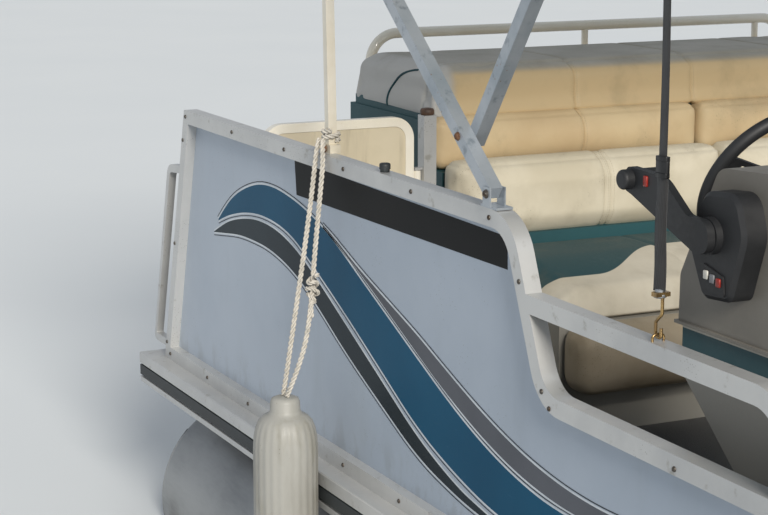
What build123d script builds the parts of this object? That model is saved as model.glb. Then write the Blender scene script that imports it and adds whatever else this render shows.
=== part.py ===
from build123d import *
import math
import os

# Pontoon boat, in millimetres. +X is the bow, +Y is port, +Z is up, and z = 0 is the bottom of
# the two keels. Places along the boat are written as distances forward of the deck's stern end,
# and heights of what stands on the deck as heights above the carpet.

# Hull and deck
deck_length = 6400
deck_width = 2440
carpet_thickness = 6
plywood_thickness = 19
member_depth = 64
member_width = 40
member_wall = 5
member_count = 11
tube_radius = 305
tube_inboard = 340
tube_aft_end = 60
nose_setback = 950
nose_reach = 240
keel_height = 25
keel_width = 14
keel_aft_end = 300
riser_height = 56
riser_width = 120
riser_wall = 6
riser_bite = 30
strake_width = 48
strake_thickness = 12
bow_eye_radius = 12
bow_eye_height = 550

# Deck edge extrusion and its rub rail
flange_width = 70
edge_height = 92
edge_wall = 14
groove_top = 33
groove_bottom = 75
groove_depth = 8
rub_gap = 3

# Fences
rail = 38
fence_inset = 50
fence_height = 769
fence_aft_foot = 90
fence_aft_rake = 15.2
low_panel_height = 434
side_end = 3300
side_gateway = 720
bow_setback = 200
shoulder = 2211
shoulder_rake = 23.5
hoop_rise = 186
hoop_end = 3156
stern_along = 27
panel_recess = 28
panel_thickness = 3
upright_width = 30
upright_depth = 25
seam_gap = 12
seat_gap = 4
rest_gap = 0.3

# Gates
gate_tube = 25
gate_floor_gap = 45
gate_side_gap = 8
hinge_radius = 8
hinge_wall = 4
hinge_low = 160
hinge_below_top = 169

# Lounges
lounge_depth = 1371
cushion_gap = 8
lounge_starboard = -550
bench_width = 550
seat_height = 400
base_top = 296

# Helm
console_width = 700
console_walkway = 200
wheel_radius = 185
wheel_rim = 14
wheel_tilt = 28.4

# Bimini
bow_tube = 30
bow_corner = 200
bimini_height = 1950
foot_along = 2123
foot_rise = 31
aft_lean = 52.5
forward_lean = 37

# Outboard
transom_height = 500
transom_wall = 48
transom_rake = 12
transom_along = -520
transom_rise = 70
stored_tilt = 55
motor_reach = 1385
propeller_radius = 160
propeller_pitch = 330

# Fender
fender_radius = 80
fender_length = 580
line_diameter = 13

half_width = deck_width / 2
deck_height = (keel_height + 2 * tube_radius + riser_height + member_depth
               + plywood_thickness + carpet_thickness)
stern_x = -(deck_length + nose_reach - motor_reach) / 2
bow_end = deck_length - bow_setback
gate_post_along = side_end + side_gateway
tube_straight_end = deck_length - nose_setback
console_side = half_width - console_walkway
fence_outer = half_width - fence_inset
bow_plane = fence_outer - 10
foot_height = fence_height + foot_rise
fence_inner = fence_outer - rail
tube_side = half_width - tube_inboard
tube_centre_height = keel_height + tube_radius
tube_top = tube_centre_height + tube_radius
plywood_bottom = deck_height - carpet_thickness - plywood_thickness
member_bottom = plywood_bottom - member_depth
upright_inner = fence_outer - panel_recess - panel_thickness - upright_depth
seat_outer = upright_inner - seat_gap

parts = {}


def along(distance):
    """X of a place given forward of the deck's stern end."""
    return stern_x + distance


def above(height):
    """Z of a place given above the carpet."""
    return deck_height + height


def face_of(corners):
    """Flat face from rows of (along, up, corner radius), rounded corner by corner."""
    points = [(a, b) for a, b, radius in corners]
    radii = [radius for a, b, radius in corners]
    return make_face(FilletPolyline(*points, radius=radii, close=True))


def moved_in(corners, distance):
    """The same outline, running anticlockwise, moved in by a distance."""
    count = len(corners)
    result = []
    for i in range(count):
        here = Vector(*corners[i][:2])
        arriving = (here - Vector(*corners[i - 1][:2])).normalized()
        leaving = (Vector(*corners[(i + 1) % count][:2]) - here).normalized()
        normal = Vector(-arriving.Y, arriving.X)
        turn = arriving.X * leaving.Y - arriving.Y * leaving.X
        middle = (normal + Vector(-leaving.Y, leaving.X)).normalized()
        corner = here + middle * (distance / middle.dot(normal))
        radius = corners[i][2]
        radius = max(radius - distance, 0) if turn > 0 else radius + distance
        result.append((corner.X, corner.Y, radius))
    return result


def on_side(face, y_from, y_to):
    """Extrudes a face drawn along X and up Z between two Y planes."""
    low, high = min(y_from, y_to), max(y_from, y_to)
    return Pos(stern_x, high, deck_height) * (Plane.XZ * extrude(face, high - low))


def across(face, x_from, x_to):
    """Extrudes a face drawn along Y and up Z between two places along the boat."""
    return Pos(along(x_from), 0, deck_height) * (Plane.YZ * extrude(face, x_to - x_from))


def box_at(x_range, y_range, z_range):
    """Box between two places along the boat, two Y planes and two heights above the carpet."""
    size = [high - low for low, high in (x_range, y_range, z_range)]
    middle = [(high + low) / 2 for low, high in (x_range, y_range, z_range)]
    return Pos(along(middle[0]), middle[1], above(middle[2])) * Box(*size)


def rod(start, end, radius):
    """Round bar between two points of the part's frame."""
    start, end = Vector(*start), Vector(*end)
    return Plane(origin=start, z_dir=end - start) * Cylinder(
        radius, (end - start).length, align=(Align.CENTER, Align.CENTER, Align.MIN))


def joined(shapes):
    """One shape from a list."""
    result = shapes[0]
    for shape in shapes[1:]:
        result = result + shape
    return result


# Pontoon tubes
# Nose sections: ahead of the straight tube, less radius than the tube, top line below the tube's
nose_sections = [(0, 0, 0), (300, 13, 0), (550, 47, 3), (770, 97, 9), (950, 155, 19), (1110, 235, 35)]
nose_tip = nose_setback + nose_reach
nose_tip_drop = 45
end_cap_fillet = 30
eye_setback = 40
strake_setback = 240
keel_lap = 150
riser_from, riser_to = 250, deck_length - 500


def lengthwise(y_and_z, start, end):
    """Extrudes an outline in Y and height above the floor between two places along the boat."""
    return Pos(along(start), 0, 0) * (Plane.YZ * extrude(make_face(Polyline(*y_and_z, close=True)), end - start))


def keel_plate():
    """Plate that carries on from the keel up the underside of the nose to the towing eye."""
    belly = [(tube_straight_end - keel_lap, 0)]
    for ahead, less, drop in nose_sections:
        low = tube_top - drop - 2 * (tube_radius - less) - keel_height
        belly.append((tube_straight_end + ahead, low))
    tip = tube_straight_end + nose_tip
    top = tube_top - nose_tip_drop
    plate = belly + [(tip, bow_eye_height - 2 * eye_setback), (tip, top), (tube_straight_end + nose_setback, top)]
    face = make_face(Polyline(*plate, close=True))
    return Pos(stern_x, keel_width / 2, 0) * (Plane.XZ * extrude(face, keel_width))


def strake(side):
    """Lifting strake welded along one side of a tube's lower half."""
    angle = math.radians(35)
    foot_y, foot_z = tube_radius * math.cos(angle), -tube_radius * math.sin(angle)
    corners = [
        (foot_y - strake_thickness, foot_z + strake_thickness),
        (foot_y + strake_width, foot_z - strake_thickness),
        (foot_y + strake_width, foot_z - 2 * strake_thickness),
        (foot_y - 2 * strake_thickness, foot_z - strake_thickness),
    ]
    outline = [(side * y, tube_centre_height + z) for y, z in corners]
    return lengthwise(outline, tube_aft_end + strake_setback, tube_straight_end - keel_lap)


def pontoon(side):
    straight = tube_straight_end - tube_aft_end
    body = Cylinder(tube_radius, straight, align=(Align.CENTER, Align.CENTER, Align.MIN))
    body = fillet(body.edges().sort_by(Axis.Z)[0], end_cap_fillet)
    body = Pos(along(tube_aft_end), 0, tube_centre_height) * Rot(0, 90, 0) * body
    sections = []
    for ahead, less, drop in nose_sections:
        radius = tube_radius - less
        plane = Plane(origin=(along(tube_straight_end + ahead), 0, tube_top - drop - radius), z_dir=(1, 0, 0))
        sections.append(plane * Circle(radius))
    nose = loft(sections, ruled=True)
    keel = Pos(along((keel_aft_end + tube_straight_end) / 2), 0, keel_height) * Box(
        tube_straight_end - keel_aft_end, keel_width, 2 * keel_height)
    eye = Pos(along(tube_straight_end + nose_tip - eye_setback), 0, bow_eye_height) * Rot(90, 0, 0) * Cylinder(
        bow_eye_radius, 3 * keel_width)
    riser_low = tube_top - riser_bite
    riser = Pos(along((riser_from + riser_to) / 2), 0, (riser_low + member_bottom) / 2)
    outer = riser * Box(riser_to - riser_from, riser_width, member_bottom - riser_low)
    hollow = riser * Pos(0, 0, -riser_wall) * Box(
        riser_to - riser_from, riser_width - 2 * riser_wall, member_bottom - riser_low)
    pieces = [body, nose, keel, keel_plate(), outer - hollow, strake(-side)]
    return Pos(0, side * tube_side, 0) * (joined(pieces) - eye)


parts["pontoon_starboard"] = pontoon(-1)
parts["pontoon_port"] = pontoon(1)

# Deck
member_length = deck_width - 2 * edge_wall - 2
member_from, member_to = 120, deck_length - 120
member_places = [member_from + (member_to - member_from) * i / (member_count - 1) for i in range(member_count)]
channels = []
for place in member_places:
    solid = Box(member_width, member_length, member_depth)
    opening = Pos(member_wall, 0, 0) * Box(member_width, member_length, member_depth - 2 * member_wall)
    channel = solid - opening
    channels.append(Pos(along(place), 0, member_bottom + member_depth / 2) * channel)
parts["deck_crossmembers"] = Compound(children=channels)

deck_middle = along(deck_length / 2)
parts["deck"] = Pos(deck_middle, 0, plywood_bottom + plywood_thickness / 2) * Box(
    deck_length - 2 * edge_wall, deck_width - 2 * edge_wall, plywood_thickness)
parts["deck_carpet"] = Pos(deck_middle, 0, deck_height - carpet_thickness / 2) * Box(
    deck_length - 2 * flange_width, deck_width - 2 * flange_width, carpet_thickness)

# Edge section: outward from the deck's edge plane, up from the carpet
edge_section = [
    (-flange_width, 0), (-3, 0), (0, -3), (0, -groove_top), (-groove_depth, -groove_top),
    (-groove_depth, -groove_bottom), (0, -groove_bottom), (-3, -edge_height),
    (-edge_wall, -edge_height), (-edge_wall, -carpet_thickness), (-flange_width, -carpet_thickness),
]
rub_section = [
    (-groove_depth, -groove_top - rub_gap), (-1, -groove_top - 2 * rub_gap),
    (-1, -groove_bottom + 2 * rub_gap), (-groove_depth, -groove_bottom + rub_gap),
]


def around_deck(section):
    """Carries a section along the four edges of the deck, mitred at the corners."""
    start = Plane(origin=(along(0), 0, deck_height), x_dir=(-1, 0, 0), z_dir=(0, 1, 0))
    face = start * make_face(Polyline(*section, close=True))
    corners = [(0, -half_width), (deck_length, -half_width), (deck_length, half_width), (0, half_width)]
    points = [(along(0), 0)] + [(along(a), b) for a, b in corners] + [(along(0), 0)]
    path = Polyline(*[(x, y, deck_height) for x, y in points])
    return sweep(face, path, transition=Transition.RIGHT)


parts["deck_edge"] = around_deck(edge_section)
parts["rub_rail"] = around_deck(rub_section)

# Motor pod: along, height above the floor
transom_top = member_bottom + transom_rise
transom_shift = transom_height * math.tan(math.radians(transom_rake))
pod_width = 660
pod_wall = 6
pod_bottom = transom_top - transom_height
pod_forward = member_places[2] + 148
transom_outline = [
    (transom_along, transom_top),
    (transom_along + transom_shift, pod_bottom),
    (transom_along + transom_shift + transom_wall, pod_bottom),
    (transom_along + transom_wall, transom_top),
]
pod_outline = [
    (transom_along + transom_shift + transom_wall, pod_bottom),
    (pod_forward - 600, pod_bottom),
    (pod_forward, member_bottom - 120),
    (pod_forward, member_bottom),
    (30, member_bottom),
    (30, member_bottom - 12),
    (-40, member_bottom - 12),
    (transom_along + transom_wall + 60, member_bottom - 60),
    (transom_along + transom_wall + (transom_top - member_bottom + 60) * math.tan(
        math.radians(transom_rake)), member_bottom - 60),
]


def upright_plate(outline, width):
    """Extrudes an outline in along and height above the floor, centred on the boat."""
    face = make_face(Polyline(*outline, close=True))
    return Pos(stern_x, width / 2, 0) * (Plane.XZ * extrude(face, width))


parts["motor_pod"] = upright_plate(transom_outline, pod_width) + upright_plate(pod_outline, pod_width)

# Fence outlines, anticlockwise: along, above the carpet, corner radius
aft_rake = math.tan(math.radians(fence_aft_rake))
step_along = shoulder + (fence_height - low_panel_height) * math.tan(math.radians(shoulder_rake))
stepped_fence = [
    (fence_aft_foot, 0, 0), (side_end, 0, 0), (side_end, low_panel_height, 60),
    (step_along, low_panel_height, 80), (shoulder, fence_height, 120),
    (fence_aft_foot + fence_height * aft_rake, fence_height, 6),
]
port_fence = [(stern_along, 0, 0)] + stepped_fence[1:5] + [(stern_along, fence_height, 6)]


def forward_fence(start, lean, corner):
    """Outline of a bow fence whose aft edge leans forward from its foot."""
    return [(start, 0, 0), (bow_end, 0, 0), (bow_end, fence_height, 120), (start + lean, fence_height, corner)]


hoop_top = low_panel_height + hoop_rise


def frame_ring(outline):
    return face_of(outline) - face_of(moved_in(outline, rail))


def side_frame(outline, side, uprights):
    outer = side * fence_outer
    inner = side * fence_inner
    pieces = [on_side(frame_ring(outline), outer, inner)]
    behind = fence_outer - panel_recess - panel_thickness
    for place, top in uprights:
        pieces.append(box_at(
            (place - upright_width / 2, place + upright_width / 2),
            sorted((side * behind, side * (behind - upright_depth))), (rail / 2, top - rail / 2)))
    return joined(pieces)


def side_panel(outline, side):
    outer = side * (fence_outer - panel_recess)
    return on_side(face_of(moved_in(outline, rail)), outer, outer - side * panel_thickness)


def hoop(side):
    """Low rail that leaves the raked edge and bends down onto the panel's top rail."""
    rake = math.tan(math.radians(shoulder_rake))
    start = shoulder + (fence_height - hoop_top) * rake
    outline = [
        (step_along - 8, low_panel_height - 1, 0), (hoop_end, low_panel_height - 1, 0),
        (hoop_end, hoop_top, 110), (start - 4, hoop_top, 0),
    ]
    inner = [
        (step_along - 8 - 60, low_panel_height - 30, 0), (hoop_end - rail, low_panel_height - 30, 0),
        (hoop_end - rail, hoop_top - rail, 110 - rail), (start - 80, hoop_top - rail, 0),
    ]
    ring = face_of(outline) - face_of(inner)
    return on_side(ring, side * fence_outer, side * fence_inner)




def evenly(start, end, count):
    """Places of a number of uprights with equal bays before, between and after them."""
    return [start + (end - start) * (i + 1) / (count + 1) for i in range(count)]


starboard_bow_start = side_end + seam_gap
port_bow_start = gate_post_along
side_uprights = [(place, fence_height) for place in evenly(fence_aft_foot, shoulder + rail, 3)]
side_uprights.append(((step_along + side_end) / 2, low_panel_height))
starboard_bow_uprights = [(place, fence_height) for place in evenly(starboard_bow_start, bow_end, 3)]
port_bow_uprights = [(place, fence_height) for place in evenly(port_bow_start, bow_end, 2)]
parts["fence_starboard_frame"] = side_frame(stepped_fence, -1, side_uprights) + hoop(-1)
parts["fence_starboard_panel"] = side_panel(stepped_fence, -1)
parts["fence_port_frame"] = side_frame(port_fence, 1, side_uprights) + hoop(1)
parts["fence_port_panel"] = side_panel(port_fence, 1)
starboard_bow = forward_fence(starboard_bow_start, 190, 120)
port_bow = forward_fence(port_bow_start, 0, 6)

# Fences across the boat, anticlockwise: Y, above the carpet, corner radius
bow_gate_half = 350
cross_along = bow_end - rail
stern_fence_starboard = -485
stern_top = fence_height - 24
stern_outline = [
    (stern_fence_starboard, 0, 0), (fence_inner - 1, 0, 0),
    (fence_inner - 1, stern_top, 0), (stern_fence_starboard, stern_top, 60),
]


def cross_outline(side):
    """Outline of the front fence from one side fence to the bow gateway."""
    near, far = bow_gate_half + gate_side_gap, fence_inner - 1
    low, high = sorted((side * near, side * far))
    return [(low, 0, 0), (high, 0, 0), (high, fence_height, 6), (low, fence_height, 6)]


def cross_frame(outline, place):
    return across(frame_ring(outline), place, place + rail)


def cross_panel(outline, place):
    return across(face_of(moved_in(outline, rail)), place, place + panel_thickness)


parts["stern_fence_frame"] = cross_frame(stern_outline, stern_along)
parts["stern_fence_panel"] = cross_panel(stern_outline, stern_along + rail - panel_recess)
bow_sides = (
    ("starboard", -1, starboard_bow, starboard_bow_uprights),
    ("port", 1, port_bow, port_bow_uprights),
)
for name, side, outline, uprights in bow_sides:
    front = cross_outline(side)
    parts[f"bow_fence_{name}_frame"] = side_frame(outline, side, uprights) + cross_frame(front, cross_along)
    front_panel = cross_panel(front, cross_along + rail - panel_recess)
    parts[f"bow_fence_{name}_panel"] = Compound(children=[side_panel(outline, side), front_panel])

# Raised stern rail on stanchions
raised_height = stern_top + 193
raised_radius = 16
raised_along = stern_along + rail / 2
raised_starboard, raised_port = stern_fence_starboard + 20, fence_inner - 42
raised_points = [
    (along(raised_along), raised_starboard, above(stern_top)),
    (along(raised_along), raised_starboard, above(raised_height)),
    (along(raised_along), raised_port, above(raised_height)),
    (along(raised_along), raised_port, above(stern_top)),
]
raised_path = FilletPolyline(*raised_points, radius=90)
raised = sweep(Plane(origin=raised_points[0], z_dir=(0, 0, 1)) * Circle(raised_radius), raised_path)
stanchions = [
    rod((along(raised_along), y, above(stern_top)), (along(raised_along), y, above(raised_height)), 11)
    for y in (raised_starboard + 770, raised_port - 116)
]
parts["raised_stern_rail"] = joined([raised] + stanchions)

# Grab handle on the raked aft edge of the starboard fence
handle_width = 22
handle_out = 125
handle_low, handle_high = 30, fence_height - 169


def on_aft_edge(height, out=0):
    """Place along the boat of a point some way aft of the fence's raked edge."""
    return fence_aft_foot + aft_rake * height - out


handle_outline = [
    (on_aft_edge(handle_low), handle_low, 0),
    (on_aft_edge(handle_high), handle_high, 0),
    (on_aft_edge(handle_high, handle_out), handle_high - 10, 45),
    (on_aft_edge(handle_low, handle_out), handle_low, 20),
]
handle_inner = [
    (on_aft_edge(handle_low) + 10, handle_low + handle_width, 0),
    (on_aft_edge(handle_high) + 10, handle_high - handle_width, 0),
    (on_aft_edge(handle_high - handle_width, handle_out - handle_width), handle_high - 10 - handle_width, 23),
    (on_aft_edge(handle_low, handle_out - handle_width), handle_low + handle_width, 4),
]
handle_face = face_of(handle_outline[::-1]) - face_of(handle_inner[::-1])
handle_middle = -(fence_outer + fence_inner) / 2
parts["stern_grab_handle"] = on_side(
    handle_face, handle_middle - handle_width / 2, handle_middle + handle_width / 2)

# Gates: tube frame with rounded corners round a panel
gate_top = fence_height + 9
hinge_heights = (hinge_low, fence_height - hinge_below_top)


def gate_outline(low, high, top):
    return [(low, gate_floor_gap, 40), (high, gate_floor_gap, 40), (high, top, 60), (low, top, 60)]


# Stern gate, hinged on a post at the lounge's end
stern_gate_along = 766
post_y = -630
post_half = rail / 2
stern_gate_low = -fence_inner + gate_side_gap
hinge_pin_y = post_y - post_half - 14
stern_gate = gate_outline(stern_gate_low, hinge_pin_y - 14, gate_top)
stern_ring = face_of(stern_gate) - face_of(moved_in(stern_gate, gate_tube))


def pins_and_ears(pin, seat):
    """Hinge pins held between ears that reach from the pins to their seat on a post."""
    pieces = []
    for height in hinge_heights:
        start = (along(pin[0]), pin[1], above(height - 30))
        end = (along(pin[0]), pin[1], above(height + 30))
        pieces.append(rod(start, end, hinge_radius - 1))
        low_x, high_x = sorted((pin[0], seat[0]))
        low_y, high_y = sorted((pin[1], seat[1]))
        for ear in (height - 34, height + 28):
            pieces.append(box_at((low_x - 9, high_x + 9), (low_y - 9, high_y + 9), (ear, ear + 6)))
    return pieces


def knuckles(pin, leaves):
    """Hinge sleeves round the pins, each with leaves that reach the gate's edge tube."""
    pieces = []
    for height in hinge_heights:
        start = (along(pin[0]), pin[1], above(height - 26))
        end = (along(pin[0]), pin[1], above(height + 26))
        sleeve = rod(start, end, hinge_radius + hinge_wall)
        for x_range, y_range in leaves:
            sleeve = sleeve + box_at(x_range, y_range, (height - 26, height + 26))
        pieces.append(sleeve - rod(start, end, hinge_radius))
    return pieces


gate_ring = across(stern_ring, stern_gate_along - gate_tube / 2, stern_gate_along + gate_tube / 2)
stern_pin = (stern_gate_along, hinge_pin_y)
post = box_at((stern_gate_along - post_half, stern_gate_along + post_half),
              (post_y - post_half, post_y + post_half), (0, gate_top))
parts["stern_gate_post"] = joined([post] + pins_and_ears(stern_pin, (stern_gate_along, post_y)))
parts["stern_gate_frame"] = joined(
    [gate_ring] + knuckles(stern_pin, [((stern_gate_along - 3, stern_gate_along + 3), (hinge_pin_y - 16, hinge_pin_y))]))
parts["stern_gate_panel"] = across(
    face_of(moved_in(stern_gate, gate_tube)), stern_gate_along - 10, stern_gate_along + 10)

# Bow gate, hinged on the port front fence
bow_gate_along = cross_along + rail / 2
bow_pin = (cross_along - 12, bow_gate_half + gate_side_gap + 6)
bow_gate = gate_outline(-bow_gate_half, bow_gate_half, fence_height)
bow_ring = face_of(bow_gate) - face_of(moved_in(bow_gate, gate_tube))
bow_gate_ring = across(bow_ring, bow_gate_along - gate_tube / 2, bow_gate_along + gate_tube / 2)
parts["bow_gate_panel"] = across(
    face_of(moved_in(bow_gate, gate_tube)), bow_gate_along - 10, bow_gate_along + 10)
bow_leaves = [
    ((bow_pin[0] - 3, bow_pin[0] + 3), (bow_gate_half - 14, bow_pin[1])),
    ((bow_pin[0], bow_gate_along), (bow_gate_half - 14, bow_gate_half - 8)),
]
bow_knuckles = knuckles(bow_pin, bow_leaves)
parts["bow_gate_frame"] = joined([bow_gate_ring] + bow_knuckles)
parts["bow_fence_port_frame"] = joined(
    [parts["bow_fence_port_frame"]] + pins_and_ears(bow_pin, (cross_along + 6, bow_pin[1] + 10)))

# Side gate in the port fence, hinged on the port bow fence
side_gate_middle = (fence_outer + fence_inner) / 2
side_gate_low = side_end + 30
side_gate_high = gate_post_along - 30
side_pin = (gate_post_along - 12, side_gate_middle - 26)
side_gate = gate_outline(side_gate_low, side_gate_high, fence_height)
side_ring = face_of(side_gate) - face_of(moved_in(side_gate, gate_tube))
side_gate_ring = on_side(side_ring, side_gate_middle - gate_tube / 2, side_gate_middle + gate_tube / 2)
parts["side_gate_panel"] = on_side(
    face_of(moved_in(side_gate, gate_tube)), side_gate_middle - 10, side_gate_middle + 10)
side_leaves = [
    ((side_gate_high - 14, side_pin[0]), (side_pin[1] - 3, side_pin[1] + 3)),
    ((side_gate_high - 14, side_gate_high - 8), (side_pin[1], side_gate_middle)),
]
parts["side_gate_frame"] = joined([side_gate_ring] + knuckles(side_pin, side_leaves))
parts["bow_fence_port_frame"] = joined(
    [parts["bow_fence_port_frame"]] + pins_and_ears(side_pin, (port_bow_start + 6, side_pin[1])))

# Stern lounge: along, above the carpet, corner radius
lounge_port = seat_outer
lounge_seam = lounge_starboard + 480
lounge_module = lounge_seam + 407
lounge_aft = stern_along + rail + 5
base_outline = [
    (lounge_aft, 0, 0), (lounge_depth - 20, 0, 0), (lounge_depth - 20, base_top, 0), (802, base_top, 0),
    (802, 430, 0), (690, 430, 0), (690, 600, 0), (560, 600, 0), (560, 735, 0), (lounge_aft, 735, 0),
]
roll_outline = [
    (lounge_depth - 20 + rest_gap, 130, 40), (1491, 130, 55), (1491, 316, 70),
    (lounge_depth - 20 + rest_gap, 316, 30),
]
seat_outline = [
    (802 + rest_gap, base_top + rest_gap, 20), (lounge_depth - 22, base_top + rest_gap, 10),
    (lounge_depth - 22, 345, 30), (1100, seat_height, 200), (802 + rest_gap, 412, 30),
]
lower_back_outline = [
    (690 + rest_gap, 430 + rest_gap, 10), (806, 430 + rest_gap, 30), (806, 640, 40), (690 + rest_gap, 640, 20),
]
upper_back_outline = [
    (560 + rest_gap, 600 + rest_gap, 10), (666, 600 + rest_gap, 10), (666, 734, 35), (560 + rest_gap, 734, 10),
]
pad_base = 764
top_pad_outline = [
    (lounge_aft + 16, pad_base + rest_gap, 20), (626, pad_base + rest_gap, 20), (626, 880, 50),
    (lounge_aft + 16, 880, 50),
]
module_ranges = [
    (lounge_starboard, lounge_seam - cushion_gap / 2),
    (lounge_seam + cushion_gap / 2, lounge_module - cushion_gap / 2),
    (lounge_module + cushion_gap / 2, lounge_port),
]


def cushions(outline, ranges):
    face = face_of(outline)
    return Compound(children=[on_side(face, low, high) for low, high in ranges])


pad_rail = box_at((lounge_aft + 30, 600), (lounge_starboard + 10, lounge_port - 10), (735, pad_base))
parts["lounge_base"] = on_side(face_of(base_outline), lounge_starboard + 6, lounge_port) + pad_rail
parts["lounge_front_roll"] = cushions(roll_outline, module_ranges[:2])
parts["lounge_seats"] = cushions(seat_outline, module_ranges)
parts["lounge_lower_backs"] = cushions(lower_back_outline, module_ranges)
parts["lounge_upper_backs"] = cushions(upper_back_outline, module_ranges)
parts["lounge_top_pad"] = cushions(top_pad_outline, module_ranges)

# Port bench, along the port fence: Y, above the carpet, corner radius
bench_aft, bench_forward = lounge_depth - 14, 2400
bench_inner = seat_outer - bench_width
bench_back = seat_outer
bench_split = bench_back - 94
bench_base = [
    (bench_inner + 30, 0, 0), (bench_back, 0, 0), (bench_back, base_top, 0), (bench_inner + 30, base_top, 0),
]
bench_seat = [
    (bench_inner, base_top + rest_gap, 20), (bench_split - rest_gap, base_top + rest_gap, 10),
    (bench_split - rest_gap, seat_height, 10), (bench_inner, seat_height, 45),
]
bench_rest = [
    (bench_split, base_top + rest_gap, 10), (bench_back, base_top + rest_gap, 10), (bench_back, 735, 35),
    (bench_split, 735, 45),
]

# Bow benches on both sides
bow_bench_aft, bow_bench_forward = gate_post_along + 280, bow_end - 150


def mirrored(outline, side):
    """Outline in Y for one side, kept anticlockwise."""
    if side > 0:
        return outline
    return [(-a, b, radius) for a, b, radius in reversed(outline)]


# Benches: side, aft end, forward end
benches = ((1, bench_aft, bench_forward), (1, bow_bench_aft, bow_bench_forward),
           (-1, bow_bench_aft, bow_bench_forward))
for node, outline in (("bases", bench_base), ("seats", bench_seat), ("backs", bench_rest)):
    solids = [across(face_of(mirrored(outline, side)), aft, ahead) for side, aft, ahead in benches]
    parts[f"bench_{node}"] = Compound(children=solids)

# Helm console: along, above the carpet, corner radius
trim_line = 620
console_forward = 3180
upper_outline = [
    (2595, trim_line, 0), (console_forward, trim_line, 0), (console_forward, 800, 60),
    (3060, 945, 80), (2712, 925, 40), (2597, 709, 30),
]
lower_outline = [
    (2850, 0, 0), (console_forward - 20, 0, 0), (console_forward - 6, trim_line - 6, 0),
    (2601, trim_line - 6, 0), (2601, 521, 20), (2830, 330, 80),
]
console_port = console_width - console_side
parts["console_upper"] = on_side(face_of(upper_outline), -console_side, console_port)
parts["console_lower"] = on_side(face_of(lower_outline), -console_side + 6, console_port - 6)
trim_face = [
    (2589, trim_line - 6, 0), (console_forward + 6, trim_line - 6, 0),
    (console_forward + 6, trim_line, 0), (2589, trim_line, 0),
]
parts["console_upper"] = parts["console_upper"] + on_side(
    face_of(trim_face), -console_side - 6, console_port + 6)

# Two instrument bezels on the sloped dash
wheel_y = console_width / 2 - console_side
dash_from, dash_to = (2597, 709), (2712, 925)
bezel_radius, bezel_height = 48, 12
bezel_up = 0.72
dash_run = Vector(dash_to[0] - dash_from[0], 0, dash_to[1] - dash_from[1])
dash_normal = Vector(-dash_run.Z, 0, dash_run.X).normalized()
for offset in (-150, 150):
    bezel_point = (along(dash_from[0] + dash_run.X * bezel_up), wheel_y + offset,
                   above(dash_from[1] + dash_run.Z * bezel_up))
    bezel_place = Plane(origin=bezel_point, z_dir=dash_normal)
    bezel = Pos(0, 0, bezel_height / 2 - 2) * Cylinder(bezel_radius, bezel_height + 4)
    bowl = Pos(0, 0, bezel_height) * Cylinder(bezel_radius - 6, bezel_height)
    parts["console_upper"] = parts["console_upper"] + bezel_place * (bezel - bowl)

# Throttle box on the console's starboard face: moulded body, switch pad, pivot boss and lever
throttle_depth = 50
throttle_face = -console_side - throttle_depth
throttle_pivot = (2768, 814)
throttle_outline = [
    (2738, 694, 22), (2824, 700, 22), (2866, 822, 60), (2838, 898, 40), (2734, 890, 40), (2688, 790, 50),
]
throttle_body = on_side(face_of(throttle_outline), throttle_face, -console_side)
throttle_body = chamfer(throttle_body.faces().sort_by(Axis.Y)[0].edges(), 8)
switch_pad = on_side(
    face_of([(2744, 718, 6), (2814, 708, 6), (2808, 746, 6), (2740, 762, 6)]), throttle_face - 3, throttle_face + 1)
boss_radius = 34
boss_height = 14
boss = Pos(along(throttle_pivot[0]), throttle_face + 1, above(throttle_pivot[1])) * Rot(90, 0, 0) * Cylinder(
    boss_radius, boss_height + 1, align=(Align.CENTER, Align.CENTER, Align.MIN))
parts["throttle_box"] = throttle_body + switch_pad + boss
lever_reach = (-234, 65)
lever_thickness = 16
lever_tip = (throttle_pivot[0] + lever_reach[0], throttle_pivot[1] + lever_reach[1])
lever_outline = [
    (throttle_pivot[0] - 6, throttle_pivot[1] - 34, 20), (throttle_pivot[0] + 32, throttle_pivot[1] - 22, 24),
    (throttle_pivot[0] + 26, throttle_pivot[1] + 30, 26), (throttle_pivot[0] - 40, throttle_pivot[1] + 32, 40),
    (lever_tip[0] + 110, lever_tip[1] + 26, 90), (lever_tip[0] - 6, lever_tip[1] + 30, 18),
    (lever_tip[0] - 20, lever_tip[1] - 14, 18), (lever_tip[0] + 12, lever_tip[1] - 22, 30),
]
lever_inner = throttle_face - boss_height - rest_gap
lever = on_side(face_of(lever_outline), lever_inner - lever_thickness, lever_inner)
grip_radius, grip_length = 19, 90
grip_middle = -1077
grip = Pos(along(lever_tip[0] + 6), grip_middle, above(lever_tip[1] + 6)) * Rot(90, 0, 0) * (
    Cylinder(grip_radius, grip_length))
grip = fillet(grip.edges(), 8)
parts["throttle_lever"] = lever + grip

# Steering wheel on a column from the sloped dash
wheel_centre = (2420, 830)
column_foot = (2646, 800)
column_radius = 34
hub_reach = 60
tilt = math.radians(wheel_tilt)
wheel_axis = Vector(-math.cos(tilt), 0, math.sin(tilt))
wheel_point = Vector(along(wheel_centre[0]), wheel_y, above(wheel_centre[1]))
wheel_plane = Plane(origin=wheel_point, x_dir=(0, 1, 0), z_dir=wheel_axis)
dash_point = Vector(along(column_foot[0]), wheel_y, above(column_foot[1]))
boss_length = (wheel_point - dash_point).dot(wheel_axis)
column_base = wheel_plane * Pos(0, 0, -boss_length)
column = column_base * Cylinder(
    column_radius, boss_length - hub_reach, align=(Align.CENTER, Align.CENTER, Align.MIN))
shroud = column_base * Cone(
    2 * column_radius, column_radius, boss_length / 2, align=(Align.CENTER, Align.CENTER, Align.MIN))
parts["console_upper"] = parts["console_upper"] + column + shroud
rim = wheel_plane * Torus(wheel_radius - wheel_rim, wheel_rim)
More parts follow.
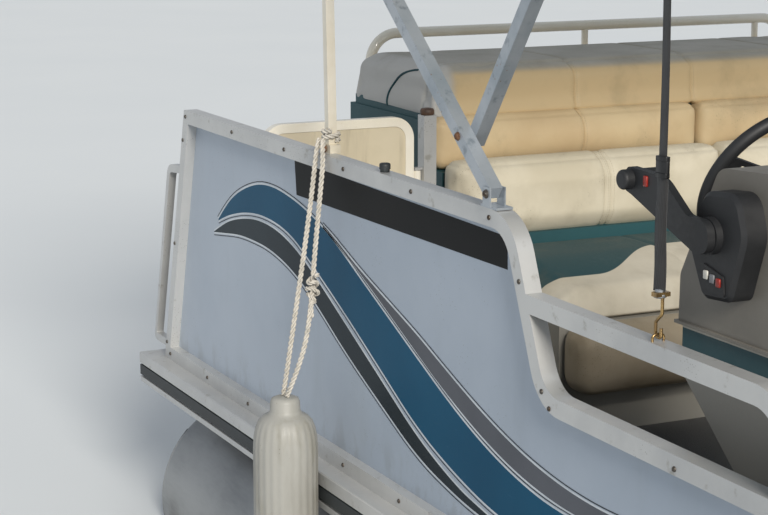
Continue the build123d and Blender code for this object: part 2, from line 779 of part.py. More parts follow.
hub_profile = [(0, rest_gap - hub_reach), (28, rest_gap - hub_reach), (42, -12), (36, 0), (0, 6)]
hub_face = make_face(FilletPolyline(*hub_profile, radius=[0, 4, 10, 8, 0], close=True))
hub = wheel_plane * revolve(Plane.XZ * hub_face, Axis.Z)
spoke_angles = (0, 115, 245)
spoke_root, spoke_tip = 44, 26
spoke_depth = 8
spoke_profile = [
    (-spoke_root / 2, 20), (spoke_root / 2, 20), (spoke_tip / 2, wheel_radius - wheel_rim),
    (-spoke_tip / 2, wheel_radius - wheel_rim),
]
spokes = []
for angle in spoke_angles:
    spoke = extrude(make_face(Polyline(*spoke_profile, close=True)), spoke_depth)
    window = extrude(Pos(0, 96) * RectangleRounded(9, 74, 4), spoke_depth)
    spokes.append(wheel_plane * Rot(0, 0, angle) * Pos(0, 0, -spoke_depth - 2) * (spoke - window))
parts["steering_wheel"] = joined([rim, hub] + spokes)

# Bimini bows: each leaves a pivot and leans in its own plane up to the canopy
forward_pivot = 165
mid_pivot = 950
mid_top_along = 1766


def on_aft_bow(distance):
    """Place along and above the carpet of a point on the aft bow."""
    lean = math.radians(aft_lean)
    return (foot_along - distance * math.sin(lean), foot_height + distance * math.cos(lean))


def bow(half, foot, lean, top, slack):
    """U of square tube in a plane that leans by an angle, from its feet to the canopy."""
    length = (top - foot[1]) / math.cos(math.radians(lean))
    outline = [(-half, -slack, 0), (half, -slack, 0), (half, length, bow_corner), (-half, length, bow_corner)]
    inner_half = half - bow_tube
    inner = [
        (-inner_half, -slack - 60, 0), (inner_half, -slack - 60, 0),
        (inner_half, length - bow_tube, bow_corner - bow_tube),
        (-inner_half, length - bow_tube, bow_corner - bow_tube),
    ]
    ring = extrude(face_of(outline) - face_of(inner), bow_tube)
    ring = Plane.YZ * (Pos(0, 0, -bow_tube / 2) * ring)
    return Pos(along(foot[0]), 0, above(foot[1])) * Rot(0, lean, 0) * ring


outer_half = bow_plane + bow_tube / 2
inner_half = outer_half - bow_tube - rest_gap
forward_foot = on_aft_bow(forward_pivot)
mid_foot = on_aft_bow(mid_pivot)
mid_lean = math.degrees(math.atan2(mid_top_along - mid_foot[0], bimini_height - mid_foot[1]))
parts["bimini_aft_bow"] = bow(outer_half, (foot_along, foot_height), -aft_lean, bimini_height, 0)
parts["bimini_forward_bow"] = bow(inner_half, forward_foot, forward_lean, bimini_height, 16)
parts["bimini_mid_bow"] = bow(inner_half, mid_foot, mid_lean, bimini_height, 16)

# Rail hinges, pins and support posts
hinge_parts = []
for side in (-1, 1):
    y = side * bow_plane
    base = box_at((foot_along - 40, foot_along + 30), sorted((side * fence_inner, side * fence_outer)),
                  (fence_height, fence_height + 5))
    ears = []
    for ear in (y - bow_tube / 2 - 3.5, y + bow_tube / 2 + 0.5):
        ears.append(box_at((foot_along - 16, foot_along + 16), (ear, ear + 3),
                           (fence_height + 5, foot_height + 14)))
    hinge_parts.append(joined([base] + ears))

post_tube = 22
post_foot = (1246, fence_height + 14)
foot_block = 20
post_tip_distance = 1140
post_tip = on_aft_bow(post_tip_distance)
post_parts = []
post_y_offset = -(bow_plane - bow_tube / 2 - post_tube / 2 - rest_gap)
for side in (-1, 1):
    y = -side * post_y_offset
    foot = box_at((post_foot[0] - 25, post_foot[0] + 25), sorted((y - 14, y + 14)),
                  (fence_height, fence_height + foot_block))
    run = Vector(post_tip[0] - post_foot[0], 0, post_tip[1] - post_foot[1])
    middle = Vector(along((post_tip[0] + post_foot[0]) / 2), y, above((post_tip[1] + post_foot[1]) / 2))
    plane = Plane(origin=middle, x_dir=(0, 1, 0), z_dir=run)
    post_parts.append(foot + plane * Box(post_tube, post_tube, run.length))
parts["bimini_posts"] = Compound(children=post_parts)
parts["bimini_hinges"] = Compound(children=hinge_parts)

# Straps from the low hoop up to the forward bow: webbing, buckle, and a snap hook in an eye on the hoop
strap_along = 2726
strap_width = 25.4
strap_thickness = 3
strap_foot = 92
buckle_low, buckle_high = 860, 895
hook_wire = 3.2
eye_wire = 2.6
forward_slope = math.radians(forward_lean)
bow_middle = forward_foot[1] + (strap_along - forward_foot[0]) / math.tan(forward_slope)
strap_top = bow_middle - bow_tube / 2 / math.sin(forward_slope) - strap_thickness / 2 / math.tan(forward_slope) - rest_gap
strap_y = fence_outer - rail / 2


def wire(points, bend, radius):
    """Bent wire through points of (along, Y, above the carpet)."""
    path = FilletPolyline(*[(along(a), b, above(c)) for a, b, c in points], radius=bend)
    return sweep(Plane(origin=path @ 0, z_dir=path % 0) * Circle(radius), path)


eye_half, eye_rise = 12, 13
hook_low = hoop_top + eye_rise - hook_wire - eye_wire - rest_gap
# Snap hook: ahead of the strap, above the carpet
hook_bend = [
    (11, hoop_top + strap_foot), (11, hoop_top + 52), (-9, hoop_top + 34), (-9, hook_low), (9, hook_low),
    (9, hoop_top + 26),
]
straps = []
hooks = []
for side in (-1, 1):
    y = side * strap_y
    webbing = box_at((strap_along - strap_thickness / 2, strap_along + strap_thickness / 2),
                     (y - strap_width / 2, y + strap_width / 2), (hoop_top + strap_foot, strap_top))
    buckle = box_at((strap_along - 7, strap_along + 7), (y - 17, y + 17), (buckle_low, buckle_high))
    straps.append(webbing + buckle)
    hook = wire([(strap_along + a, y, b) for a, b in hook_bend], 6, hook_wire)
    swivel = box_at((strap_along - 3, strap_along + 14), (y - 15, y + 15),
                    (hoop_top + strap_foot - 8, hoop_top + strap_foot))
    hooks.append(hook + swivel)
    hooks.append(wire([
        (strap_along, y - eye_half, hoop_top), (strap_along, y - eye_half, hoop_top + eye_rise),
        (strap_along, y + eye_half, hoop_top + eye_rise), (strap_along, y + eye_half, hoop_top)], 8, eye_wire))
parts["bimini_straps"] = Compound(children=straps)
parts["bimini_hooks"] = Compound(children=hooks)

# Canopy: inverted shallow trough, Y and above the carpet
canopy_aft = foot_along - (bimini_height - foot_height) * math.tan(math.radians(aft_lean)) - 30
canopy_forward = forward_foot[0] + (bimini_height - forward_foot[1]) * math.tan(math.radians(forward_lean)) + 30
canopy_half = outer_half + 14
canopy_wall = 6
canopy_skirt = 100
canopy_top = bimini_height + bow_tube / 2 * math.sin(math.radians(aft_lean)) + canopy_wall + 0.3
canopy_outline = [
    (-canopy_half, canopy_top - canopy_skirt, 0), (canopy_half, canopy_top - canopy_skirt, 0),
    (canopy_half, canopy_top, 90), (-canopy_half, canopy_top, 90),
]
canopy_inner = [
    (-canopy_half + canopy_wall, canopy_top - canopy_skirt - 40, 0),
    (canopy_half - canopy_wall, canopy_top - canopy_skirt - 40, 0),
    (canopy_half - canopy_wall, canopy_top - canopy_wall, 84),
    (-canopy_half + canopy_wall, canopy_top - canopy_wall, 84),
]
parts["bimini_canopy"] = across(face_of(canopy_outline) - face_of(canopy_inner), canopy_aft, canopy_forward)

# Outboard, drawn upright with its tilt axis at the origin, then tilted up for storage
tilt_along = transom_along + 10
tilt_height = transom_top + 34
stored = Pos(along(tilt_along), 0, tilt_height) * Rot(0, stored_tilt, 0)
steer_offset = -62
steer_bore = 18
tilt_tube_radius = 14
bracket_inner, bracket_wall = 86, 18
shaft_centre = 150
shaft_span = 370


def side_plate(outline, y_from, y_to):
    """Outboard piece: x forward of the tilt axis, z above it, corner radius."""
    face = face_of(outline)
    return Pos(0, y_to, 0) * (Plane.XZ * extrude(face, y_to - y_from))


def level_plate(outline, height, thickness):
    """Flat outboard piece from rows of (x forward of the tilt axis, Y, corner radius)."""
    return Pos(0, 0, height) * extrude(face_of(outline), thickness)


clamp_outline = [
    (-14, -170, 0), (-14, -34, 6), (transom_wall + 8, -34, 6), (transom_wall + 8, -120, 0),
    (transom_wall + 30, -120, 0), (transom_wall + 30, -10, 14), (12, 24, 20), (-22, 20, 20), (-34, -120, 20),
]
clamps = []
for side in (-1, 1):
    low, high = sorted((side * bracket_inner, side * (bracket_inner + bracket_wall)))
    clamps.append(side_plate(clamp_outline, low, high))
    screw_y = side * (bracket_inner + bracket_wall / 2)
    screw = Pos(transom_wall + 8, screw_y, -85) * Rot(0, 90, 0) * Cylinder(
        7, 70, align=(Align.CENTER, Align.CENTER, Align.MIN))
    bar = Pos(transom_wall + 72, screw_y, -85) * Cylinder(5, 80)
    clamps.append(screw + fillet(bar.edges(), 3))
clamps.append(Rot(90, 0, 0) * Cylinder(tilt_tube_radius, 2 * bracket_inner + 30))
clamp_shape = Pos(along(tilt_along), 0, tilt_height) * joined(clamps)
parts["outboard_clamp"] = clamp_shape - parts["motor_pod"]

swivel_bore = Rot(90, 0, 0) * Cylinder(tilt_tube_radius + 0.5, 220)
swivel_tube = Pos(steer_offset, 0, -shaft_centre) * Cylinder(30, 340)
arm_outline = [(-75, -44, 8), (24, -24, 20), (20, 24, 20), (-75, 18, 8)]
swivel_arms = [side_plate(arm_outline, low, low + 22) for low in (-78, 56)]
swivel_bridge = Pos(steer_offset - 8, 0, -20) * Box(40, 156, 60)
swivel = joined([swivel_tube, swivel_bridge] + swivel_arms) - swivel_bore
pivot_hole = Pos(steer_offset, 0, -shaft_centre) * Cylinder(steer_bore, 400)
parts["outboard_swivel"] = stored * (swivel - pivot_hole)

# Leg: steering shaft and yokes, housing, plates, gearcase, skeg and trim tab
vent_drop = -505
shaft_drop = vent_drop - propeller_radius - 20
gear_aft = -310
gear_radius = 47
steer_shaft = Pos(steer_offset, 0, -shaft_centre) * Cylinder(steer_bore - 0.05, shaft_span)
# Housing sections: x, z, half its length, half its width
housing_sections = [
    (-205, 50, 105, 62), (-201, -110, 92, 50), (-196, -300, 84, 40), (-192, vent_drop, 84, 30),
    (-188, shaft_drop + 25, 76, 17),
]
housing = loft([Pos(x, 0, z) * Ellipse(length, width) for x, z, length, width in housing_sections])
yoke_top = Pos(-110, 0, 35 - rest_gap) * Box(130, 60, 30 - 2 * rest_gap)
yoke_low = Pos(-110, 0, -335) * Box(130, 50, 20)
vent_plate = level_plate([
    (-62, -16, 14), (-62, 16, 14), (-130, 78, 60), (-340, 92, 60), (-474, 50, 44), (-474, -50, 44),
    (-340, -92, 60), (-130, -78, 60)], vent_drop, 8)
splash_plate = level_plate([
    (-78, -14, 12), (-78, 14, 12), (-150, 62, 50), (-320, 62, 50), (-320, -62, 50), (-150, -62, 50)],
    vent_drop + 78, 6)
gear_profile = [(gear_aft, 0), (gear_aft, gear_radius - 6), (-250, gear_radius), (-110, gear_radius), (-22, 28), (4, 0)]
gear_face = make_face(FilletPolyline(*gear_profile, radius=[0, 4, 60, 120, 30, 0], close=True))
gearcase = Pos(0, 0, shaft_drop) * revolve(Plane.XZ * gear_face, Axis.X)
skeg = side_plate([
    (-292, shaft_drop - 176, 12), (-236, shaft_drop - 190, 24), (-160, shaft_drop - 110, 160),
    (-104, shaft_drop, 0), (-268, shaft_drop, 0)], -5, 5)
trim_tab = side_plate([
    (-470, vent_drop - 44, 8), (-440, vent_drop - 44, 14), (-432, vent_drop + 4, 0), (-468, vent_drop + 4, 0)], -6, 6)
leg = joined([housing, steer_shaft, yoke_top, yoke_low, vent_plate, splash_plate, gearcase, skeg, trim_tab])
parts["outboard_leg"] = stored * leg

# Cowling: x, z, length, width, corner radius of each level
pan_levels = [(-190, 50, 400, 250, 90), (-196, 96, 446, 300, 104), (-200, 150, 470, 320, 110)]
cowl_levels = [
    (-200, 150 + rest_gap, 476, 326, 112), (-200, 250, 474, 322, 112), (-204, 340, 444, 296, 108),
    (-214, 405, 372, 240, 96), (-222, 430, 300, 180, 76),
]


def levels_loft(levels):
    return loft([Pos(x, 0, z) * RectangleRounded(length, width, corner) for x, z, length, width, corner in levels],
                ruled=True)


# Two air intakes under the rear brow of the cowl
intake_aft, intake_height, intake_width = -446, 318, 96
intakes = [Pos(intake_aft, side * 62, intake_height) * Box(90, intake_width, 26) for side in (-1, 1)]
parts["outboard_pan"] = stored * levels_loft(pan_levels)
parts["outboard_cowl"] = stored * (levels_loft(cowl_levels) - intakes[0] - intakes[1])

# Propeller: three blades lofted through sections set to the pitch at their own radius
hub_length = 110
hub_radius = 34
exhaust_radius, exhaust_depth = 26, 70
# Blade sections: radius as a share of the propeller's, chord, thickness, aft rake
blade_sections = [
    (0.19, 62, 11, 0), (0.38, 92, 9, -4), (0.6, 108, 7, -9), (0.8, 98, 5, -15), (0.94, 66, 3.5, -20),
    (0.995, 26, 2.5, -22),
]


def blade():
    sections = []
    for share, chord, thickness, rake in blade_sections:
        radius = share * propeller_radius
        pitch = math.atan2(propeller_pitch, 2 * math.pi * radius)
        plane = Plane(origin=(rake, 0, radius), x_dir=(math.sin(pitch), math.cos(pitch), 0), z_dir=(0, 0, 1))
        sections.append(plane * Ellipse(chord / 2, thickness / 2))
    return loft(sections)


hub_core = Rot(0, 90, 0) * Cylinder(hub_radius, hub_length)
exhaust = Pos(-hub_length / 2, 0, 0) * Rot(0, 90, 0) * (
    Cylinder(exhaust_radius, exhaust_depth, align=(Align.CENTER, Align.CENTER, Align.MIN))
    - Cylinder(exhaust_radius / 2, exhaust_depth, align=(Align.CENTER, Align.CENTER, Align.MIN)))
blades = [Rot(angle, 0, 0) * blade() for angle in (0, 120, 240)]
propeller_place = Pos(gear_aft - hub_length / 2 - rest_gap, 0, shaft_drop)
parts["propeller"] = stored * propeller_place * (joined([hub_core] + blades) - exhaust)

# Fender hung outside the rub rail: ribbed body between two moulded rope ends
fender_y = -(half_width + fender_radius + rest_gap)
fender_along = 1338
fender_top = 150
neck_radius, neck_length = 24, 45
fender_profile = [
    (0, -neck_length), (neck_radius, -neck_length), (neck_radius + 14, 0), (fender_radius, 70),
    (fender_radius, fender_length - 70), (neck_radius + 14, fender_length),
    (neck_radius, fender_length + neck_length), (0, fender_length + neck_length),
]
fender_face = make_face(FilletPolyline(*fender_profile, radius=[0, 10, 25, 40, 40, 25, 10, 0], close=True))
fender_body = revolve(Plane.XZ * fender_face, Axis.Z)
parts["fender"] = Pos(along(fender_along), fender_y, above(fender_top - fender_length)) * fender_body

# Hitch of two turns round the foot of the support post
rope_radius = line_diameter / 2
turn_half = post_tube / 2 + rope_radius + rest_gap
hitch_low = fence_height + foot_block + rope_radius + 3
hitch_lean = math.degrees(math.atan2(post_tip[0] - post_foot[0], post_tip[1] - post_foot[1]))
hitch_turns = []
for turn in (0, 1):
    height = hitch_low + turn * (line_diameter + rest_gap)
    place = post_foot[0] + (height - post_foot[1]) * math.tan(math.radians(hitch_lean))
    path = RectangleRounded(2 * turn_half, 2 * turn_half, rope_radius + 0.1).wire()
    ring = sweep(Plane(origin=path @ 0, z_dir=path % 0) * Circle(rope_radius), path)
    hitch_turns.append(Pos(along(place), post_y_offset, above(height)) * Rot(0, hitch_lean, 0) * ring)
parts["fender_hitch"] = Compound(children=hitch_turns)

# Two falls of the fender's line, from its neck over the rail to the hitch: the aft one hangs
# straight and the forward one bellies out below its knot
neck_top = fender_top + neck_length
hitch_face = post_y_offset - turn_half - rope_radius - 4.9
# Fall points: along, Y, above the carpet
fall_points = {
    "aft": [
        (fender_along - 11, fender_y, neck_top + rope_radius / 5), (fender_along + 2, fender_y + 10, neck_top + 95),
        (fender_along - 12, fender_y + 38, neck_top + 225), (fender_along - 39, fender_y + 72, neck_top + 355),
        (post_foot[0] + 26, -fence_outer - 28, fence_height - 99),
        (post_foot[0] + 12, -fence_outer - 12, fence_height - 24),
        (post_foot[0] + 5, -fence_outer - 4, fence_height + 16), (post_foot[0] - 4, hitch_face, fence_height + 33),
    ],
    "forward": [
        (fender_along + 11, fender_y, neck_top + rope_radius / 2), (fender_along + 44, fender_y + 14, neck_top + 72),
        (fender_along + 38, fender_y + 42, neck_top + 145), (fender_along - 2, fender_y + 74, neck_top + 240),
        (fender_along - 28, fender_y + 91, neck_top + 320), (fender_along - 28, fender_y + 103, neck_top + 435),
        (post_foot[0] + 58, -fence_outer - 12, fence_height - 24),
        (post_foot[0] + 40, -fence_outer - 4, fence_height + 16), (post_foot[0] + 17, hitch_face, fence_height + 33),
    ],
}


def corner_radii(points):
    """Each arc as large as its two runs allow."""
    radii = []
    for before, here, after in zip(points, points[1:], points[2:]):
        arriving = Vector(*here) - Vector(*before)
        leaving = Vector(*after) - Vector(*here)
        turn = math.radians(arriving.get_angle(leaving))
        radii.append(0.45 * min(arriving.length, leaving.length) / math.tan(turn / 2))
    return radii


falls = []
for fall, points in fall_points.items():
    corners = [(along(place), y, above(height)) for place, y, height in points]
    radii = corner_radii(corners)
    path = FilletPolyline(*corners, radius=radii)
    start = Plane(origin=corners[0], z_dir=Vector(*corners[1]) - Vector(*corners[0]))
    falls.append(sweep(start * Circle(rope_radius), path))
    print(fall, "fall length", round(path.length), "tightest bend", round(min(radii)))
parts["fender_line"] = Compound(children=falls)

os.makedirs("parts", exist_ok=True)
for node, shape in parts.items():
    export_step(shape, f"parts/{node}.step")
total = Compound(children=[shape for shape in parts.values()]).bounding_box()
print(len(parts), "nodes", total.min, total.max)
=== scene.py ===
# %% [markdown]
# # A pontoon boat, dressed piece by piece
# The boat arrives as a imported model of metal, boards and moulded shells, already in its
# right place and size. This lesson keeps those shapes, gives each a finish, and adds what
# a solid model leaves out: cushions, cloth, rope, painted bands, screws and seams.
# Everything is in metres, with X forward, Y to port and Z up.

# %% Load the boat
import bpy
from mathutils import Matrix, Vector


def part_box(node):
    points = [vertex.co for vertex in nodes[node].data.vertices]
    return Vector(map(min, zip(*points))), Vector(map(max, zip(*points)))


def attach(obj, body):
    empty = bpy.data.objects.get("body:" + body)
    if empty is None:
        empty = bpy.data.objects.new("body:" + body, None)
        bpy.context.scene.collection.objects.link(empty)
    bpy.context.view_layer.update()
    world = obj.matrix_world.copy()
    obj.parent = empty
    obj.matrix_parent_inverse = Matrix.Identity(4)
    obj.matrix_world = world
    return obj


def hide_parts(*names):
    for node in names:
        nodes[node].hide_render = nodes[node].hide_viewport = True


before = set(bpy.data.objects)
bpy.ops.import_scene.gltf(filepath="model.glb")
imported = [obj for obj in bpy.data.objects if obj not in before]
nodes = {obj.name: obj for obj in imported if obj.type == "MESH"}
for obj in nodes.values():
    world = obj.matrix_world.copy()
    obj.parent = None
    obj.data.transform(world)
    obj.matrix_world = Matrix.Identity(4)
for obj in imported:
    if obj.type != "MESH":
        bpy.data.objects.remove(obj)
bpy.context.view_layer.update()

import math
from collections import namedtuple

import bmesh
import bpy
from mathutils import Matrix, Vector, noise
from mathutils.bvhtree import BVHTree

scene = bpy.context.scene

# %% [markdown]
# ## Places on the boat
# A boat builder measures forward from the stern end of the deck and up from the carpet.
# One small function turns such a measurement into a point of the scene, so every table
# below reads like a builder's list.

# %% A builder's measurement as a point
STERN = -2.6275
CARPET = 0.780


def place(along, across, up):
    """A point given forward of the stern, to port of the middle, and above the carpet."""
    return Vector((STERN + along, across, CARPET + up))


ALONG, ACROSS, UP = Vector((1, 0, 0)), Vector((0, 1, 0)), Vector((0, 0, 1))
SIDES = ((-1, "starboard"), (1, "port"))


def linked(name, data):
    """An object in the scene, holding its data."""
    made = bpy.data.objects.new(name, data)
    scene.collection.objects.link(made)
    return made


print("top of the fence at the stern", place(0.299, -1.142, 0.769))

# %% [markdown]
# ## Camera, light and floor
# The picture is taken from beside the forward half of the boat, looking aft across the
# starboard fence. The camera is placed by its own three axes, found from straight rails,
# because angles typed by hand drift. A long lens keeps the rails nearly parallel.

# %% Camera
CAMERA_RIGHT = (0.4308, 0.9025, 0.0)
CAMERA_UP = (-0.1757, 0.0839, 0.9809)
CAMERA_BACK = (0.8852, -0.4224, 0.1947)
CAMERA_AT = (3.0785, -3.12, 2.256)
lens = bpy.data.cameras.new("side_view")
lens.lens, lens.sensor_width, lens.clip_end = 94.69, 36.0, 200.0
camera = linked("side_view", lens)
stand = Matrix((CAMERA_RIGHT, CAMERA_UP, CAMERA_BACK)).transposed().to_4x4()
stand.translation = CAMERA_AT
camera.matrix_world = stand
scene.camera = camera
scene.view_settings.view_transform = "Standard"
print("camera stands at", CAMERA_AT)

# %% [markdown]
# A node tree is quick to read when one line adds one node. The first helper below sets a
# node's own choices by keyword and fills or links its inputs from a table, and the others
# write a colour as a painter does, mix two colours, stretch a value and do a sum.


# %% Helpers for every node tree
def add(tree, kind, inputs=None, **choices):
    """Adds a node by its short name, sets its choices, and fills or links its inputs."""
    family = "" if kind.startswith("NodeGroup") else tree.bl_idname.replace("Tree", "")
    made = tree.nodes.new(family + kind)
    for choice, value in choices.items():
        setattr(made, choice, value)
    for socket, value in (inputs or {}).items():
        if isinstance(value, bpy.types.NodeSocket):
            tree.links.new(value, made.inputs[socket])
        else:
            made.inputs[socket].default_value = value
    return made


def paint(code):
    """A colour written as six hex digits, as linear red, green, blue and alpha."""
    parts = [int(code[i:i + 2], 16) / 255 for i in (0, 2, 4)]
    return [c / 12.92 if c < 0.04045 else ((c + 0.055) / 1.055) ** 2.4 for c in parts] + [1.0]


def mix(tree, amount, first, second):
    """A colour that goes from the first to the second as the amount goes from 0 to 1."""
    return add(tree, "Mix", {0: amount, 6: first, 7: second}, data_type="RGBA").outputs[2]


def span(tree, value, low, high, start=0.0, end=1.0):
    """A value stretched smoothly from low..high to start..end."""
    limits = {"Value": value, "From Min": low, "From Max": high, "To Min": start, "To Max": end}
    return add(tree, "MapRange", limits, interpolation_type="SMOOTHSTEP").outputs["Result"]


def maths(tree, operation, *values):
    """The outcome of one sum on values or sockets."""
    return add(tree, "Math", dict(enumerate(values)), operation=operation).outputs[0]


# %% Light
sky = bpy.data.worlds.new("studio_sky")
scene.world = sky
sky.use_nodes = True
tree = sky.node_tree
tree.nodes.clear()
light = add(tree, "Background", {"Color": paint("E3EAF3"), "Strength": 0.55}).outputs[0]
shown = add(tree, "Background", {"Color": paint("E9ECEE"), "Strength": 1.0}).outputs[0]
seen = add(tree, "LightPath").outputs["Is Camera Ray"]
chosen = add(tree, "MixShader", {0: seen, 1: light, 2: shown}).outputs[0]
add(tree, "OutputWorld", {"Surface": chosen})

TOWARDS_SUN = Vector((0.90, -0.165, 0.46))
sun = bpy.data.lights.new("soft_sun", "SUN")
sun.energy, sun.angle, sun.color = 3.35, math.radians(18), (1.0, 0.95, 0.87)
linked("soft_sun", sun).rotation_euler = TOWARDS_SUN.to_track_quat("Z", "Y").to_euler()

# %% Floor, at the waterline
WATERLINE = 0.26
FLOOR_REACH = 60
floor_paint = bpy.data.materials.new("studio_floor")
floor_paint.use_nodes = True
tree = floor_paint.node_tree
shader = tree.nodes["Principled BSDF"].inputs
shader["Roughness"].default_value = 0.85
where = add(tree, "TexCoord").outputs["Object"]
ground = add(tree, "TexNoise", {"Vector": where, "Scale": 0.7, "Detail": 4.0}).outputs["Fac"]
tree.links.new(mix(tree, ground, paint("D8DCDE"), paint("DEE1E2")), shader["Base Color"])
floor_mesh = bpy.data.meshes.new("studio_floor")
corners = [(x * FLOOR_REACH, y * FLOOR_REACH, WATERLINE) for x, y in ((-1, -1), (1, -1), (1, 1), (-1, 1))]
floor_mesh.from_pydata(corners, [], [(0, 1, 2, 3)])
floor_mesh.materials.append(floor_paint)
linked("studio_floor", floor_mesh)
print("floor at", WATERLINE)

# %% [markdown]
# ## Effects shared by many finishes
# Grain, weather marks and weave turn up on one material after another. Each is a small
# group of nodes that puts out a plain value, so it can drive a colour, a roughness or a
# bump. The shader itself stays in the material, where the exporter can read it.


# %% A helper that starts a node group
def effect(name, inputs, outputs):
    """A new shader group with named inputs (with their values) and outputs."""
    group = bpy.data.node_groups.new(name, "ShaderNodeTree")
    for label, value in {"Vector": (0.0, 0.0, 0.0), **inputs}.items():
        kind = "NodeSocketVector" if isinstance(value, tuple) else "NodeSocketFloat"
        group.interface.new_socket(label, in_out="INPUT", socket_type=kind).default_value = value
    for label in outputs:
        group.interface.new_socket(label, in_out="OUTPUT", socket_type="NodeSocketFloat")
    return group, add(group, "NodeGroupInput").outputs, add(group, "NodeGroupOutput").inputs


# %% Marks: soft patches, streaks and scratches
sizes = {"Stretch": (1.0, 1.0, 1.0), "Scale": 4.0, "Low": 0.42, "High": 0.62, "Detail": 6.0}
marks, given, wanted = effect("marks", sizes, ["Mask", "Height"])
pulled = {0: given["Vector"], 1: given["Stretch"]}
drawn = add(marks, "VectorMath", pulled, operation="MULTIPLY").outputs[0]
noisy = {"Vector": drawn, "Scale": given["Scale"], "Detail": given["Detail"], "Roughness": 0.6}
cloud = add(marks, "TexNoise", noisy).outputs["Fac"]
marks.links.new(span(marks, cloud, given["Low"], given["High"]), wanted["Mask"])
marks.links.new(cloud, wanted["Height"])

# %% Specks: small scattered dots, such as mildew or chips
specks, given, wanted = effect("specks", {"Scale": 120.0, "Size": 0.2, "Spread": 0.5}, ["Mask"])
scattered = {"Vector": given["Vector"], "Scale": given["Scale"], "Randomness": 1.0}
dots = add(specks, "TexVoronoi", scattered).outputs["Distance"]
field = add(specks, "TexNoise", {"Vector": given["Vector"], "Scale": 5.0, "Detail": 3.0}).outputs["Fac"]
near = maths(specks, "LESS_THAN", dots, given["Size"])
kept = maths(specks, "GREATER_THAN", field, given["Spread"])
specks.links.new(maths(specks, "MULTIPLY", near, kept), wanted["Mask"])

# %% Hide: the pebbled grain of vinyl and moulded plastic
hide, given, wanted = effect("hide", {"Scale": 420.0}, ["Height"])
pebbles = {"Vector": given["Vector"], "Scale": given["Scale"]}
cells = add(hide, "TexVoronoi", pebbles, feature="SMOOTH_F1").outputs["Distance"]
wrinkle = add(hide, "TexNoise", {"Vector": given["Vector"], "Scale": 90.0, "Detail": 5.0}).outputs["Fac"]
hide.links.new(maths(hide, "ADD", cells, wrinkle), wanted["Height"])

# %% Weave: threads over and under
weave, given, wanted = effect("weave", {"Threads": 900.0}, ["Height"])
counted = {0: given["Vector"], "Scale": given["Threads"]}
cloth = add(weave, "VectorMath", counted, operation="SCALE").outputs[0]
axes = add(weave, "SeparateXYZ", {0: cloth}).outputs
warp, weft = maths(weave, "SINE", axes["X"]), maths(weave, "SINE", axes["Y"])
weave.links.new(maths(weave, "MULTIPLY_ADD", warp, weft, 0.5), wanted["Height"])
print("effects", [g.name for g in bpy.data.node_groups])

# %% [markdown]
# ## One way to write a finish
# Most surfaces here are a colour that drifts a little, a grain that the light catches, and
# a gloss that is not the same everywhere. The function below wires exactly that, with each
# finish giving its own colours, sizes and strengths. Finishes are kept by name, so that a
# stain or a stripe can be laid over one afterwards.

# %% The finish function
looks = {}


def effect_on(tree, group, **inputs):
    """The outputs of an effect drawn in object coordinates."""
    where = add(tree, "TexCoord").outputs["Object"]
    return add(tree, "Group", {"Vector": where, **inputs}, node_tree=group).outputs


def finish(name, colour, drift, patch, scale, bump, depth, rough, grain=marks, along=None,
           detail=None, stretch=(1, 1, 1), low=0.35, high=0.68, metal=0.0, coat=0.0, sheen=0.0,
           mirror=0.5):
    """Two colours in patches, a grain of some scale and depth in mm, and a gloss between two ends."""
    made = bpy.data.materials.new(name)
    made.use_nodes = True
    tree = made.node_tree
    shader = tree.nodes["Principled BSDF"].inputs
    soft = effect_on(tree, marks, Stretch=stretch, Scale=patch, Low=low, High=high)
    asked = {"Threads" if grain is weave else "Scale": scale, "Stretch": along, "Detail": detail}
    asked = {label: value for label, value in asked.items() if value is not None}
    tooth = effect_on(tree, grain, **asked)["Height"]
    tree.links.new(mix(tree, soft["Mask"], paint(colour), paint(drift)), shader["Base Color"])
    uneven = maths(tree, "MULTIPLY", soft["Height"], tooth)
    tree.links.new(span(tree, uneven, 0.1, 0.5, *rough), shader["Roughness"])
    relief = {"Strength": bump, "Distance": depth / 1000, "Height": tooth}
    tree.links.new(add(tree, "Bump", relief).outputs[0], shader["Normal"])
    shader["Metallic"].default_value = metal
    shader["Coat Weight"].default_value = coat
    shader["Sheen Weight"].default_value = sheen
    shader["Specular IOR Level"].default_value = mirror
    looks[name] = made


# %% Stains and zones laid over a finish
def recolour(tree, share, colour):
    """Turns a finish towards another colour by a share from 0 to 1."""
    base = tree.nodes["Principled BSDF"].inputs["Base Color"]
    tree.links.new(mix(tree, share, base.links[0].from_socket, paint(colour)), base)


def below(tree, axis, low, high):
    """1 where the surface lies below low on an axis, falling to 0 at high."""
    where = add(tree, "TexCoord").outputs["Object"]
    return span(tree, add(tree, "SeparateXYZ", {0: where}).outputs[axis], low, high, 1.0, 0.0)


def stain(name, colour, amount, mask=marks, within=None, **inputs):
    """Lays a colour over a finish where a mask says, fading out between two heights if given."""
    tree = looks[name].node_tree
    share = maths(tree, "MULTIPLY", effect_on(tree, mask, **inputs)["Mask"], amount)
    if within:
        share = maths(tree, "MULTIPLY", share, below(tree, "Z", *within))
    recolour(tree, share, colour)


def zone(name, axis, low, high, colour):
    """Gives a finish another colour below low..high on an axis."""
    tree = looks[name].node_tree
    recolour(tree, below(tree, axis, low, high), colour)


# %% [markdown]
# ## Metal
# Three kinds of aluminium make up the boat. Rails and posts are extrusions, drawn through
# a die and left with fine lines along their length; the tubes are rolled sheet in mill
# finish, which water has dulled and stained; the bows are thin drawn tube with grey-blue
# bloom. Each gets its own grain direction, since the eye reads metal by it.

